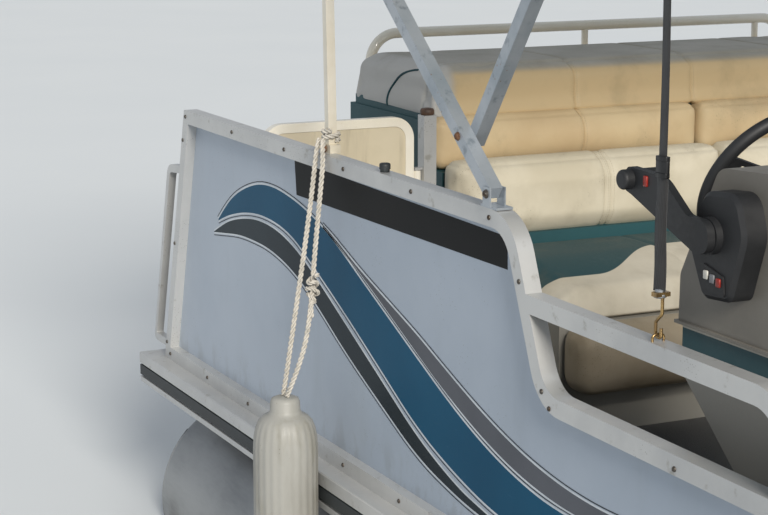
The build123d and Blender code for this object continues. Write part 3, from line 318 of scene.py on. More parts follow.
# %% Metal finishes: name, two colours, patch and grain scales, bump, depth in mm, gloss
BRUSHED = {"detail": 3, "metal": 0.45}
finish("rail_aluminium", "CDCDCB", "B9BABA", 2.2, 14, 0.12, 0.4, (0.32, 0.48), along=(6, 60, 60), **BRUSHED)
stain("rail_aluminium", "8A8578", 0.5, Scale=26, Low=0.60, High=0.74)
stain("rail_aluminium", "6E6A60", 0.55, specks, Scale=160, Size=0.17, Spread=0.55)
finish("tube_aluminium", "A4A6A7", "8D9092", 1.6, 9, 0.2, 0.8, (0.36, 0.58), along=(2, 14, 14),
       stretch=(1, 1, 2.5), metal=0.6)
stain("tube_aluminium", "5C564A", 0.75, within=(0.20, 0.42), Scale=5, Low=0.40, High=0.58,
      Stretch=(1, 1, 0.25))
stain("tube_aluminium", "4B5140", 0.6, within=(0.10, 0.26), Scale=3, Low=0.45, High=0.6)
finish("bow_aluminium", "B4BAC0", "99A3AB", 5, 12, 0.14, 0.4, (0.30, 0.46), along=(30, 60, 6), **BRUSHED)
stain("bow_aluminium", "6F7A82", 0.6, Scale=34, Low=0.55, High=0.7)
stain("bow_aluminium", "8C6A4A", 0.5, specks, Scale=70, Size=0.16, Spread=0.56)
finish("pale_post", "ECE6D8", "DDD4C0", 4, 16, 0.1, 0.4, (0.3, 0.45), along=(30, 30, 4), metal=0.25)
finish("screw_steel", "6B6964", "4A3A2C", 160, 900, 0.2, 0.3, (0.3, 0.5), metal=0.8)
finish("rusty_steel", "7A5A42", "5A3A28", 90, 500, 0.5, 0.6, (0.55, 0.8), metal=0.4)
finish("brass", "B89A68", "8A7250", 60, 700, 0.15, 0.3, (0.22, 0.4), metal=0.9)
print("metals", list(looks))

# %% [markdown]
# ## Paint, plastic, boards and cloth
# The fence sheets are aluminium with a baked coat in pale blue-grey. Close up it has the
# faint dimpling of sprayed enamel, and rain has drawn soft streaks down it. The console
# and seat bases are moulded shells with a leathery texture pressed in by the mould.

# %% Painted finishes
finish("panel_enamel", "AEB8C4", "A4AFBC", 1.4, 260, 0.06, 0.4, (0.32, 0.44), detail=2, mirror=0.3)
stain("panel_enamel", "99A2AB", 0.35, Stretch=(3, 3, 0.8), Scale=2.2, Low=0.48, High=0.78)
stain("panel_enamel", "7D7F7C", 0.25, within=(0.83, 0.93), Stretch=(2, 2, 1), Scale=7, Low=0.48,
      High=0.62)
stain("panel_enamel", "6F6E68", 0.6, specks, Scale=90, Size=0.10, Spread=0.58)
finish("gate_tan", "DDD1B7", "D0C4A9", 2.4, 240, 0.06, 0.4, (0.32, 0.45), detail=2, coat=0.2)
stain("gate_tan", "9C8F76", 0.5, Stretch=(6, 6, 0.8), Scale=3, Low=0.52, High=0.72)
finish("cream_white_tube", "F6F1E4", "EDE5D2", 3, 300, 0.05, 0.3, (0.18, 0.32), detail=2, coat=0.4)
stain("cream_white_tube", "A8926C", 0.5, specks, Scale=60, Size=0.12, Spread=0.6)
finish("motor_black", "17181A", "1F2022", 3, 300, 0.05, 0.3, (0.16, 0.3), detail=2, coat=0.5)
finish("motor_alloy", "2A2B2E", "36373A", 6, 420, 0.18, 0.4, (0.34, 0.5), metal=0.35)
stain("motor_alloy", "7A7D80", 0.5, specks, Scale=120, Size=0.12, Spread=0.56)

# %% Moulded, rubber, board and fibre finishes
finish("console_shell", "7F7B73", "706C65", 3, 520, 0.22, 0.5, (0.34, 0.5), grain=hide)
finish("console_lower_shell", "B9B5AA", "ADA99E", 3, 520, 0.22, 0.5, (0.4, 0.56), grain=hide)
zone("console_lower_shell", "Z", 1.3855, 1.3865, "1F464D")
zone("console_lower_shell", "Z", 1.309, 1.311, "7A7974")
finish("black_mould", "1C1D1F", "27282A", 8, 760, 0.25, 0.4, (0.36, 0.55), grain=hide)
finish("rub_rubber", "24282A", "33383A", 5, 380, 0.2, 0.5, (0.5, 0.7), stretch=(1, 6, 6))
stain("rub_rubber", "5A5F62", 0.5, Scale=18, Low=0.58, High=0.75)
finish("seat_base_shell", "234F55", "1C464C", 2.5, 460, 0.2, 0.5, (0.45, 0.6), grain=hide)
zone("seat_base_shell", "Z", 1.174, 1.176, "9A978F")
finish("marine_board", "8A6B47", "6E5234", 3, 12, 0.3, 0.8, (0.6, 0.8), along=(2, 40, 40),
       stretch=(0.4, 5, 40), low=0.4, high=0.6)
finish("carpet_pile", "33332F", "262623", 2, 620, 0.9, 4, (0.8, 0.95), detail=3, low=0.3, high=0.7,
       sheen=0.25)
stain("carpet_pile", "4A4840", 0.5, Scale=300, Low=0.56, High=0.7)
finish("strap_webbing", "1A1A1B", "262627", 20, 2600, 0.6, 0.6, (0.6, 0.8), grain=weave, sheen=0.2)
finish("rope_yarn", "CEC8BD", "BAB4A8", 60, 30, 0.6, 0.8, (0.7, 0.9), along=(60, 60, 8), low=0.4,
       high=0.65, sheen=0.3)
stain("rope_yarn", "9A9A92", 0.4, Scale=24, Low=0.52, High=0.72)
print("finishes", len(looks))

# %% [markdown]
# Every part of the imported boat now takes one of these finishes. The table is the builder's
# paint schedule: a finish, and the parts that get it.

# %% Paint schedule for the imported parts
fences = ["fence_starboard", "fence_port", "bow_fence_starboard", "bow_fence_port", "stern_fence"]
gates = ["stern_gate", "bow_gate", "side_gate"]
schedule = {
    "tube_aluminium": ["pontoon_starboard", "pontoon_port", "deck_crossmembers", "motor_pod"],
    "rail_aluminium": [fence + "_frame" for fence in fences],
    "panel_enamel": [fence + "_panel" for fence in fences],
    "gate_tan": [gate + "_panel" for gate in gates],
    "cream_white_tube": [gate + "_frame" for gate in gates] + ["raised_stern_rail"],
    "bow_aluminium": ["bimini_aft_bow", "bimini_forward_bow", "bimini_mid_bow", "bimini_hinges"],
    "pale_post": ["bimini_posts"],
    "marine_board": ["deck"],
    "carpet_pile": ["deck_carpet"],
    "rub_rubber": ["rub_rail"],
    "seat_base_shell": ["lounge_base", "bench_bases"],
    "console_shell": ["console_upper"],
    "console_lower_shell": ["console_lower"],
    "black_mould": ["throttle_box", "throttle_lever", "steering_wheel"],
    "strap_webbing": ["bimini_straps"],
    "brass": ["bimini_hooks"],
    "motor_black": ["outboard_cowl"],
    "motor_alloy": ["outboard_" + part for part in ("clamp", "swivel", "leg", "pan")] + ["propeller"],
}
schedule["rail_aluminium"] += ["deck_edge", "stern_grab_handle", "stern_gate_post"]
for coat, names in schedule.items():
    for name in names:
        nodes[name].material_slots[0].material = looks[coat]
print("painted", sum(len(names) for names in schedule.values()), "parts")

# %% [markdown]
# ## Making a piece
# New pieces all go the same way: points and faces into a mesh, the finish on it, the piece
# on the hull that carries it. Object and mesh stay at the origin so that patterns measured
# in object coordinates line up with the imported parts.


# %% Points and faces
def sweep(rings, closed=False):
    """Points and faces of a skin over rings that have the same number of points."""
    count = len(rings[0])
    points = [p for ring in rings for p in ring]
    faces = []
    for r in range(len(rings) if closed else len(rings) - 1):
        here, there = r * count, ((r + 1) % len(rings)) * count
        for k in range(count):
            beyond = (k + 1) % count
            faces.append((here + k, here + beyond, there + beyond, there + k))
    if not closed:
        faces.append(tuple(reversed(range(count))))
        faces.append(tuple(range(len(points) - count, len(points))))
    return points, faces


def merged(skins):
    """Points and faces of several skins as one."""
    points, faces = [], []
    for more, skin in skins:
        faces += [tuple(v + len(points) for v in face) for face in skin]
        points += more
    return points, faces


def turns(count):
    """The angles of so many even steps round a circle."""
    return [2 * math.pi * k / count for k in range(count)]


def circle(centre, side, other, radius, count):
    """So many points round a centre, in the plane of two directions."""
    return [centre + (side * math.cos(a) + other * math.sin(a)) * radius for a in turns(count)]


def cut_corners(middle, side, top, wide, tall, keep):
    """A rectangle with cut corners; keep is the share of its width and height that stays."""
    x, y = keep
    corners = [(-1, -y), (-x, -1), (x, -1), (1, -y), (1, y), (x, 1), (-x, 1), (-1, y)]
    return [middle + side * (wide / 2 * a) + top * (tall / 2 * b) for a, b in corners]


def ring_frames(path):
    """For each point of a path, two directions square to it that turn as little as they can."""
    frames, side = [], None
    for i, point in enumerate(path):
        ahead = (path[min(i + 1, len(path) - 1)] - path[max(i - 1, 0)]).normalized()
        if side is None:
            side = ahead.orthogonal().normalized()
        side = (side - ahead * side.dot(ahead)).normalized()
        frames.append((point, side, ahead.cross(side)))
    return frames


def tube_along(path, radius, sides=6):
    """Points and faces of a round tube along a path."""
    return sweep([circle(*spot, radius, sides) for spot in ring_frames(path)])


# %% From points and faces to a piece
def mounted(made):
    """Puts an object on the hull."""
    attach(made, "hull")
    return made


def painted_mesh(name, skin, coat, smooth=True):
    """A mesh of points and faces with its finish."""
    points, faces = skin
    mesh = bpy.data.meshes.new(name)
    mesh.from_pydata([tuple(p) for p in points], [], faces)
    mesh.update()
    if smooth:
        mesh.shade_smooth()
    mesh.materials.append(looks[coat])
    return mesh


def piece(name, skin, coat, smooth=True):
    """A mesh object in its place, painted and riding on the hull."""
    return mounted(linked(name, painted_mesh(name, skin, coat, smooth)))


def plain_mesh(made):
    """The object's mesh as its modifiers leave it, with the modifiers gone."""
    bpy.context.view_layer.update()
    depsgraph = bpy.context.evaluated_depsgraph_get()
    mesh = bpy.data.meshes.new_from_object(made.evaluated_get(depsgraph))
    made.modifiers.clear()
    made.data = mesh
    return made


# %% [markdown]
# ## Rope
# The fender hangs from two falls of the same three-strand rope, which go round the foot of
# the canopy post and drop over the fence. Each fall is a NURBS line led by a few hanging
# points, because a rope has no corners. Its three strands are wound round that line, the
# way a ropewalk lays them, each a thin round skin that turns once in about three thicknesses.

# %% The falls' routes
ROPE = 0.013
fall_places = {
    "fender_fall_aft": [
        (1.327, -1.3003, 0.1963), (1.340, -1.2903, 0.290), (1.326, -1.2623, 0.420),
        (1.299, -1.2283, 0.550), (1.272, -1.198, 0.670), (1.258, -1.182, 0.745),
        (1.251, -1.174, 0.785), (1.242, -1.1629, 0.802),
    ],
    "fender_fall_forward": [
        (1.349, -1.3003, 0.19825), (1.382, -1.2863, 0.267), (1.376, -1.2583, 0.340),
        (1.336, -1.2263, 0.435), (1.310, -1.2093, 0.515), (1.310, -1.1973, 0.630),
        (1.304, -1.182, 0.745), (1.286, -1.174, 0.785), (1.263, -1.1629, 0.802),
    ],
}


def smooth_line(name, points):
    """The fine points of a NURBS line led by a few points."""
    curve = bpy.data.curves.new(name, "CURVE")
    curve.dimensions = "3D"
    spline = curve.splines.new("NURBS")
    spline.points.add(len(points) - 1)
    for control, point in zip(spline.points, points):
        control.co = (*point, 1.0)
    spline.order_u, spline.resolution_u, spline.use_endpoint_u = 3, 16, True
    route = linked(name, curve)
    depsgraph = bpy.context.evaluated_depsgraph_get()
    line = bpy.data.meshes.new_from_object(route.evaluated_get(depsgraph))
    fine = [vertex.co.copy() for vertex in line.vertices]
    bpy.data.meshes.remove(line)
    bpy.data.objects.remove(route)
    return fine


def run_length(path):
    """The length of a line of points."""
    return sum((b - a).length for a, b in zip(path, path[1:]))


def evenly(path, step):
    """The same line with its points a step apart."""
    spaced, left = [path[0]], step
    for a, b in zip(path, path[1:]):
        gap, start = (b - a).length, 0.0
        while gap - start >= left:
            start += left
            spaced.append(a.lerp(b, start / gap))
            left = step
        left -= gap - start
    return spaced + [path[-1]]


# %% The lay of the rope, as shares of its thickness
LAY = 3.1
STRAND_OUT, STRAND = 0.268, 0.232
STRAND_TALL, STRAND_WIDE = 1.06, 1.16
STRAND_LEAN = 0.28
ROPE_STEP = 0.0026


def laid_rope(path, thickness=ROPE, sides=8):
    """Points and faces of three strands wound round a path."""
    fine = evenly(path, ROPE_STEP)
    twist, gone = [], 0.0
    for before, point in zip([fine[0]] + fine, fine):
        gone += (point - before).length
        twist.append(2 * math.pi * gone / (LAY * thickness))
    strand, strands = thickness * STRAND, []
    for start in turns(3):
        rings = []
        for (centre, side, other), turn in zip(ring_frames(fine), twist):
            c, s = math.cos(start + turn), math.sin(start + turn)
            out, around = side * c + other * s, other * c - side * s
            lean = (side.cross(other) - around * STRAND_LEAN).normalized()
            tall = out * strand * STRAND_TALL
            wide = lean.cross(out).normalized() * strand * STRAND_WIDE
            rings.append(circle(centre + out * thickness * STRAND_OUT, tall, wide, 1.0, sides))
        strands.append(sweep(rings))
    return merged(strands)


def rope_piece(name, route, thickness=ROPE):
    """A laid rope along a route, as a piece."""
    return piece(name, laid_rope(route, thickness), "rope_yarn")


# %% Falls, and the hitch of two turns round the post
HITCH_REACH, HITCH_UP, HITCH_CLIMB = 0.0180, 0.7985, 0.0133
falls = {}
for name, places in fall_places.items():
    route = smooth_line(name, [place(*spot) for spot in places])
    falls[name] = (rope_piece(name, route), route)
    print(name, "is", round(run_length(route), 3), "m long")
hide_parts("fender_line")

post_foot = place(1.2454, -1.1337, 0.0)
hitch_points = []
for eighth in range(16):
    angle = math.radians(22.5 + 45 * eighth)
    reach = HITCH_REACH / max(abs(math.cos(angle)), abs(math.sin(angle)))
    rise = HITCH_UP + HITCH_CLIMB * eighth / 8
    hitch_points.append(post_foot + Vector((reach * math.cos(angle), reach * math.sin(angle), rise)))
hitch = rope_piece("post_hitch", smooth_line("post_hitch", hitch_points))
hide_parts("fender_hitch")

# %% The knot on the forward fall: loops that swell and shrink, then a short loose end
KNOT_UP, KNOT_ROPE, KNOT_STEPS_A_TURN = 0.457, 0.011, 8.2
LOOSE_END = ((0.020, -0.012, -0.036), (0.026, -0.014, -0.052), (0.028, -0.014, -0.066))
middle = min(falls["fender_fall_forward"][1], key=lambda p: abs(p.z - CARPET - KNOT_UP))
knot_points = []
for i in range(26):
    angle = 2 * math.pi * i / KNOT_STEPS_A_TURN
    swell = 0.0135 + 0.004 * math.sin(i * 1.9)
    rise = 0.030 - 0.0023 * i + 0.006 * math.sin(i * 0.9)
    knot_points.append(middle + Vector((swell * math.cos(angle), swell * math.sin(angle) * 0.9, rise)))
knot_points += [middle + Vector(spot) for spot in LOOSE_END]
knot = rope_piece("fall_knot", smooth_line("fall_knot", knot_points), KNOT_ROPE)

# %% [markdown]
# ## Bands on the fence
# The fence sheet wears three bands of coloured film that rise from the stern, crest and
# sweep down towards the bow, with pinstripes along their edges, and a plain black strip
# under the top rail. Film has a real, if tiny, thickness, so each band is a thin closed
# skin between two smooth edges rather than a pattern in the paint, and its edge stays
# crisp from any distance.

# %% Film finishes
finish("blue_film", "09506F", "074765", 1.1, 500, 0.04, 0.3, (0.28, 0.4), detail=2, mirror=0.08)
stain("blue_film", "2E617A", 0.35, Stretch=(1, 1, 6), Scale=24, Low=0.66, High=0.74)
finish("slate_film", "1A2A33", "16232B", 1.3, 500, 0.04, 0.3, (0.28, 0.4), detail=2, mirror=0.12)
finish("grey_film", "5F6269", "54575E", 1.3, 500, 0.04, 0.3, (0.3, 0.42), detail=2, mirror=0.12)
finish("white_film", "CFD5DA", "B9C1C8", 9, 500, 0.04, 0.3, (0.3, 0.45), detail=2)
finish("black_film", "131415", "1A1B1C", 4, 400, 0.08, 0.3, (0.34, 0.5), detail=3, mirror=0.08)
stain("black_film", "33373A", 0.4, Stretch=(1, 1, 5), Scale=20, Low=0.64, High=0.74)

# %% Edges of the bands: forward of the stern, above the carpet
band_edges = {
    "blue_over": [
        (0.489, 0.482), (0.549, 0.530), (0.628, 0.575), (0.715, 0.606), (0.789, 0.624),
        (0.861, 0.631), (0.950, 0.629), (1.103, 0.607), (1.265, 0.561), (1.436, 0.487),
        (1.597, 0.4205), (1.739, 0.361), (1.928, 0.284), (2.104, 0.229), (2.268, 0.198),
        (2.391, 0.190), (2.60, 0.192), (2.85, 0.204), (3.08, 0.218),
    ],
    "blue_under": [
        (0.489, 0.4775), (0.547, 0.499), (0.615, 0.517), (0.6915, 0.533), (0.787, 0.5435),
        (0.8685, 0.543), (0.948, 0.536), (1.0256, 0.519), (1.0821, 0.498), (1.174, 0.460),
        (1.350, 0.384), (1.539, 0.295), (1.742, 0.1985), (1.93, 0.143), (2.107, 0.108),
        (2.30, 0.098), (2.55, 0.112), (2.85, 0.165), (3.08, 0.214),
    ],
    "slate_over": [
        (0.454, 0.441), (0.535, 0.477), (0.603, 0.498), (0.691, 0.516), (0.776, 0.526),
        (0.868, 0.525), (0.947, 0.515), (1.025, 0.496), (1.082, 0.477), (1.174, 0.439),
        (1.35, 0.358), (1.539, 0.271), (1.742, 0.176), (1.931, 0.117), (2.047, 0.0987),
        (2.2, 0.078), (2.32, 0.070),
    ],
    "slate_under": [
        (0.454, 0.439), (0.545, 0.451), (0.6455, 0.464), (0.742, 0.466), (0.836, 0.4645),
        (0.926, 0.453), (1.004, 0.436), (1.080, 0.412), (1.173, 0.373), (1.349, 0.288),
        (1.539, 0.211), (1.742, 0.131), (1.931, 0.095), (2.05, 0.082), (2.2, 0.072),
        (2.32, 0.068),
    ],
    "grey_over": [
        (1.212, 0.582), (1.265, 0.568), (1.352, 0.537), (1.436, 0.508), (1.517, 0.483),
        (1.6405, 0.446), (1.740, 0.416), (1.835, 0.383), (2.016, 0.3225), (2.185, 0.2765),
        (2.343, 0.250), (2.491, 0.240), (2.628, 0.244), (2.9, 0.262), (3.1, 0.285),
    ],
    "grey_under": [
        (1.212, 0.580), (1.30, 0.552), (1.42, 0.506), (1.57, 0.444), (1.641, 0.414),
        (1.740, 0.3725), (1.836, 0.3325), (2.017, 0.2685), (2.186, 0.2255), (2.345, 0.205),
        (2.478, 0.2025), (2.65, 0.206), (2.9, 0.226), (3.1, 0.283),
    ],
}
bends = {}
for name, table in band_edges.items():
    bends[name] = smooth_line(name, [Vector((along, 0.0, up)) for along, up in table])

# %% How a film is laid
FENCE_FACE, FILM = 1.142, 0.0003
BAND_LIFT, WHITE_LIFT, LINE_LIFT = 0.0002, 0.00025, 0.0006


def shares(path, count):
    """So many points of a line, at equal steps from its start to its end."""
    return evenly(path, run_length(path) / (count - 1))[:count - 1] + [path[-1]]


def film(name, over, under, coat, lift, sides=(-1, 1)):
    """A thin closed film between two lines of as many points, on the fence sheets of the sides given."""
    skins = []
    for side in sides:
        inner = side * (FENCE_FACE + lift)
        outer = inner + side * FILM
        rings = []
        for a, b in zip(over, under):
            corners = ((a, outer), (b, outer), (b, inner), (a, inner))
            rings.append([place(edge.x, across, edge.z) for edge, across in corners][::-side])
        skins.append(sweep(rings))
    return piece(name, merged(skins), coat, smooth=False)


def beside(path, away):
    """A line shifted sideways in the plane of the fence sheet, upwards where away is above 0."""
    shifted = []
    for i, point in enumerate(path):
        ahead = (path[min(i + 1, len(path) - 1)] - path[max(i - 1, 0)]).normalized()
        shifted.append(point + Vector((-ahead.z, 0.0, ahead.x)) * away)
    return shifted


# %% Bands with their pinstripes; where two bands run side by side, one dark line serves both
SHARED = (("slate", "over"), ("grey", "under"))
WHITE_LINE, DARK_LINE = 0.0045, (0.0070, 0.0088)
for colour in ("blue", "slate", "grey"):
    name = colour + "_band"
    top, bottom = shares(bends[colour + "_over"], 90), shares(bends[colour + "_under"], 90)
    film(name, top, bottom, colour + "_film", BAND_LIFT)
    for label, line, side in (("over", top, 1), ("under", bottom, -1)):
        film(name + "_white_" + label, beside(line, WHITE_LINE * side), line, "white_film", WHITE_LIFT)
        if (colour, label) not in SHARED:
            near, far = (beside(line, away * side) for away in DARK_LINE)
            film(name + "_line_" + label, far, near, "black_film", LINE_LIFT)

# %% The black strip under the top rail, on the starboard side alone
strip_over = shares([Vector((1.037, 0.0, 0.722)), Vector((2.150, 0.0, 0.7125))], 24)
strip_under = shares([Vector((1.048, 0.0, 0.634)), Vector((2.151, 0.0, 0.644))], 24)
film("black_strip", strip_over, strip_under, "black_film", BAND_LIFT, sides=(-1,))

# %% [markdown]
# ## Screws
# Screws hold the sheets in their rails every 30 cm. A turned head is made once, and a small
# Geometry Nodes tree sets it at even steps along lines drawn down the rails, so a longer
# fence only needs a longer line. The tree ends in plain mesh.


# %% A turned shape
def turned(profile, centre, axis, sides=20):
    """Points and faces of rows of radius and height, spun round an axis through a centre."""
    axis = Vector(axis).normalized()
    side = axis.orthogonal().normalized()
    other = axis.cross(side)
    return sweep([circle(Vector(centre) + axis * up, side, other, r, sides) for r, up in profile])


# %% A tree that repeats a head along lines
rows = bpy.data.node_groups.new("row_of_heads", "GeometryNodeTree")
sockets = {"Geometry": "Geometry", "Spacing": "Float", "Head": "Object", "Facing": "Vector",
           "Finish": "Material"}
for label, kind in sockets.items():
    rows.interface.new_socket(label, in_out="INPUT", socket_type="NodeSocket" + kind)
rows.interface.new_socket("Geometry", in_out="OUTPUT", socket_type="NodeSocketGeometry")
given = add(rows, "NodeGroupInput").outputs
line = add(rows, "MeshToCurve", {"Mesh": given["Geometry"]}).outputs[0]
steps = add(rows, "ResampleCurve", {"Curve": line, "Length": given["Spacing"]}, mode="LENGTH").outputs[0]
head = add(rows, "ObjectInfo", {"Object": given["Head"]}).outputs["Geometry"]
spots = {"Points": steps, "Instance": head, "Rotation": given["Facing"]}
placed = add(rows, "InstanceOnPoints", spots).outputs[0]
plain = add(rows, "RealizeInstances", {"Geometry": placed}).outputs[0]
coated = add(rows, "SetMaterial", {"Geometry": plain, "Material": given["Finish"]}).outputs[0]
rows.links.new(coated, add(rows, "NodeGroupOutput").inputs["Geometry"])


def run_tree(made, tree, values):
    """Runs a Geometry Nodes tree on a mesh object and leaves it as plain mesh."""
    modifier = made.modifiers.new(tree.name, "NODES")
    modifier.node_group = tree
    for item in tree.interface.items_tree:
        if item.in_out == "INPUT" and item.name in values:
            modifier[item.identifier] = values[item.name]
    made.update_tag()
    return plain_mesh(made)


# %% Screw heads along the rails
RAIL_FACE, SCREW_SPACING = 1.1699, 0.302
screw_profile = [
    (0.0, 0.0), (0.0056, 0.0), (0.0056, 0.0008), (0.0048, 0.0024), (0.0030, 0.0034),
    (0.0019, 0.0034), (0.0014, 0.0022), (0.0, 0.0020),
]
screw_skin = turned(screw_profile, (0, 0, 0), UP, 10)
pattern_head = linked("pattern_head", painted_mesh("pattern_head", screw_skin, "screw_steel"))


def screws(name, runs, side):
    """Screw heads at even steps along straight runs down the rails of one side."""
    ends = [place(along, side * RAIL_FACE, up) for run in runs for along, up in run]
    mesh = bpy.data.meshes.new(name)
    mesh.from_pydata([tuple(p) for p in ends], [(k, k + 1) for k in range(0, len(ends), 2)], [])
    facing = (-side * math.pi / 2, 0.0, 0.0)
    values = {"Spacing": SCREW_SPACING, "Head": pattern_head, "Facing": facing}
    made = run_tree(linked(name, mesh), rows, {**values, "Finish": looks["screw_steel"]})
    made.data.shade_smooth()
    print(name, len(made.data.polygons), "faces")
    return mounted(made)


both_runs = [
    ((0.31, 0.750), (2.12, 0.750)), ((2.248, 0.64), (2.345, 0.436)),
    ((2.375, 0.408), (3.26, 0.408)), ((0.14, 0.019), (3.26, 0.019)),
]
starboard_runs = [
    ((0.112, 0.05), (0.285, 0.68)), ((3.652, 0.750), (6.0, 0.750)), ((3.35, 0.019), (6.15, 0.019)),
]
port_runs = [
    ((0.048, 0.05), (0.048, 0.68)), ((4.10, 0.750), (6.0, 0.750)), ((4.10, 0.019), (6.15, 0.019)),
]
screws("screws_starboard", both_runs + starboard_runs, -1)
screws("screws_port", both_runs + port_runs, 1)
bpy.data.objects.remove(pattern_head)

# %% [markdown]
# ## Bolts, cap and plug
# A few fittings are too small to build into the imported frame, yet the eye finds them at
# once: the rusty bolts that the bows fold on, the brown cap on the gate post, the pins at
# the canopy post's foot, and the rubber plug that stops the gate from rattling.

# %% Bolts and pins: forward, out and up, and their finish
bolt_profile = [
    (0.0, 0.0), (0.0095, 0.0), (0.0095, 0.0015), (0.0075, 0.0018), (0.0072, 0.0050),
    (0.0055, 0.0066), (0.0, 0.0070),
]
bolts = {
    "bow_bolt_": (1.990, 1.1750, 0.902, "rusty_steel"),
    "foot_bolt_": (2.123, 1.1785, 0.800, "screw_steel"),
    "post_pin_": (1.246, 1.1500, 0.779, "rusty_steel"),
}
for side, label in SIDES:
    for name, (along, out, up, coat) in bolts.items():
        bolt = turned(bolt_profile, place(along, side * out, up), (0, side, 0))
        piece(name + label, bolt, coat)

# %% Plug and cap
plug_profile = [
    (0.0, 0.0), (0.0110, 0.0), (0.0110, 0.006), (0.0130, 0.0075), (0.0130, 0.0180),
    (0.0110, 0.0205), (0.0, 0.0210),
]
plug = turned(plug_profile, place(1.588, -1.152, 0.7688), UP)
piece("gate_stop_plug", plug, "rub_rubber")

GATE_POST_ACROSS = -0.630
cap_profile = [
    (0.0, 0.0), (0.0175, 0.0), (0.0195, 0.003), (0.0195, 0.013), (0.0170, 0.0175),
    (0.0090, 0.0195), (0.0, 0.0200),
]
post_low, post_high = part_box("stern_gate_post")
cap_place = Vector(((post_low.x + post_high.x) / 2, GATE_POST_ACROSS, post_high.z))
finish("cap_brown", "5A4334", "3B2C24", 40, 500, 0.2, 0.5, (0.5, 0.7))
piece("gate_post_cap", turned(cap_profile, cap_place, UP), "cap_brown")
print("cap at", tuple(round(v, 3) for v in cap_place))

# %% [markdown]
# ## Fender
# The fender is a blown vinyl bottle with shallow flutes down its sides and a thick moulded
# neck at each end for the line. It is turned like a pot, with the wheel's radius swelling
# and dipping a little twenty-four times a turn where the flutes run.

# %% The fluted fender: radius and height of its upper end, its side, and its lower end
FENDER_RADIUS, SHOULDER_UP, SIDE_LENGTH, SIDE_STEPS = 0.0795, 0.070, 0.42, 14
FLUTES, FLUTE_DEPTH = 24, 0.0008
upper_end = [
    (0.0, 0.195), (0.024, 0.195), (0.033, 0.191), (0.036, 0.183), (0.037, 0.162), (0.042, 0.153),
    (0.055, 0.147), (0.066, 0.136), (0.0735, 0.118), (0.078, 0.095), (FENDER_RADIUS, SHOULDER_UP),
]
falling = [SHOULDER_UP - SIDE_LENGTH * i / SIDE_STEPS for i in range(1, SIDE_STEPS)]
lower_end = [(r, 2 * SHOULDER_UP - SIDE_LENGTH - up) for r, up in reversed(upper_end)]
fender_middle = place(1.338, -1.3003, 0.0)
rings = []
for radius, height in upper_end + [(FENDER_RADIUS, up) for up in falling] + lower_end:
    flute = FLUTE_DEPTH * min(max(radius - 0.055, 0.0) / 0.02, 1.0)
    ring = []
    for angle in turns(5 * FLUTES):
        reach = max(radius + flute * math.cos(FLUTES * angle) - flute, 0.0)
        ring.append(fender_middle + Vector((reach * math.cos(angle), reach * math.sin(angle), height)))
    rings.append(ring)
finish("fender_vinyl", "A09F99", "908E87", 7, 300, 0.12, 0.4, (0.38, 0.55), grain=hide, stretch=(1, 1, 0.4))
stain("fender_vinyl", "858172", 0.45, Stretch=(4, 4, 1), Scale=6, Low=0.50, High=0.70)
stain("fender_vinyl", "6F6A5C", 0.6, specks, Scale=90, Size=0.12, Spread=0.54)
fender = piece("fluted_fender", sweep(rings), "fender_vinyl")
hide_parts("fender")
print("fender", len(fender.data.polygons), "faces")

# %% [markdown]
# ## Cushions
# The seats are foam under marine vinyl. A sewer cuts the vinyl a little small, so the foam
# pushes it round at every edge, and each cushion reads as soft because of that roundness and
# not because of its colour. Each one starts as a block a little smaller than its foam, is
# cut into even faces, and is then blown up for a moment as cloth, with its resting face
# held, so that the crown and the pull at the corners come from the cloth and not by hand.

# %% Vinyl finishes
vinyls = {
    "cream_vinyl": ("D2CAB6", "C4BBA5", 3.5),
    "tan_vinyl": ("D3BE98", "C8B08A", 3.5),
    "teal_vinyl": ("1F4A50", "183E45", 4),
    "roll_vinyl": ("B5A791", "A3947C", 4),
    "seat_vinyl": ("CFC8B8", "C2BAA8", 3.5),
    # the top pad's grey is painted shade and sky sheen on its top; its own tan is zoned in below
    "pad_vinyl": ("A9A69D", "9C998F", 3.5),
}
for name, (colour, drift, patch) in vinyls.items():
    finish(name, colour, drift, patch, 520, 0.16, 0.5, (0.42, 0.6), grain=hide, mirror=0.35)


def trim_aft(name, low, high, bend, colour):
    """Gives a vinyl another colour aft of a line across the seat, which bends over a stretch of Y."""
    tree = looks[name].node_tree
    where = add(tree, "SeparateXYZ", {0: add(tree, "TexCoord").outputs["Object"]}).outputs
    start, end, shift = bend
    along = maths(tree, "ADD", where["X"], span(tree, where["Y"], start, end, 0.0, shift))
    recolour(tree, span(tree, along, low, high, 1.0, 0.0), colour)


trim_aft("seat_vinyl", -1.394, -1.391, (-0.36, -0.06, 0.175), "1F444A")
# The pad keeps the grey on its top as painted shade and sky sheen; below 1.64 m it takes its own tan.
zone("pad_vinyl", "Z", 1.640, 1.660, "CDB68E")
zone("pad_vinyl", "Y", -0.490, -0.455, "B9B8B4")
SOIL = {"Scale": 5, "Low": 0.50, "High": 0.74}
for name in ("cream_vinyl", "tan_vinyl", "roll_vinyl", "pad_vinyl"):
    stain(name, "7A705A", 0.28, **SOIL)
for name in ("cream_vinyl", "tan_vinyl", "roll_vinyl"):
    stain(name, "5A5038", 0.55, specks, Scale=150, Size=0.15, Spread=0.60)
stain("seat_vinyl", "6E6450", 0.25, **SOIL)
stain("teal_vinyl", "4C6B6C", 0.4, Scale=9, Low=0.55, High=0.75)
print("vinyls", list(vinyls))

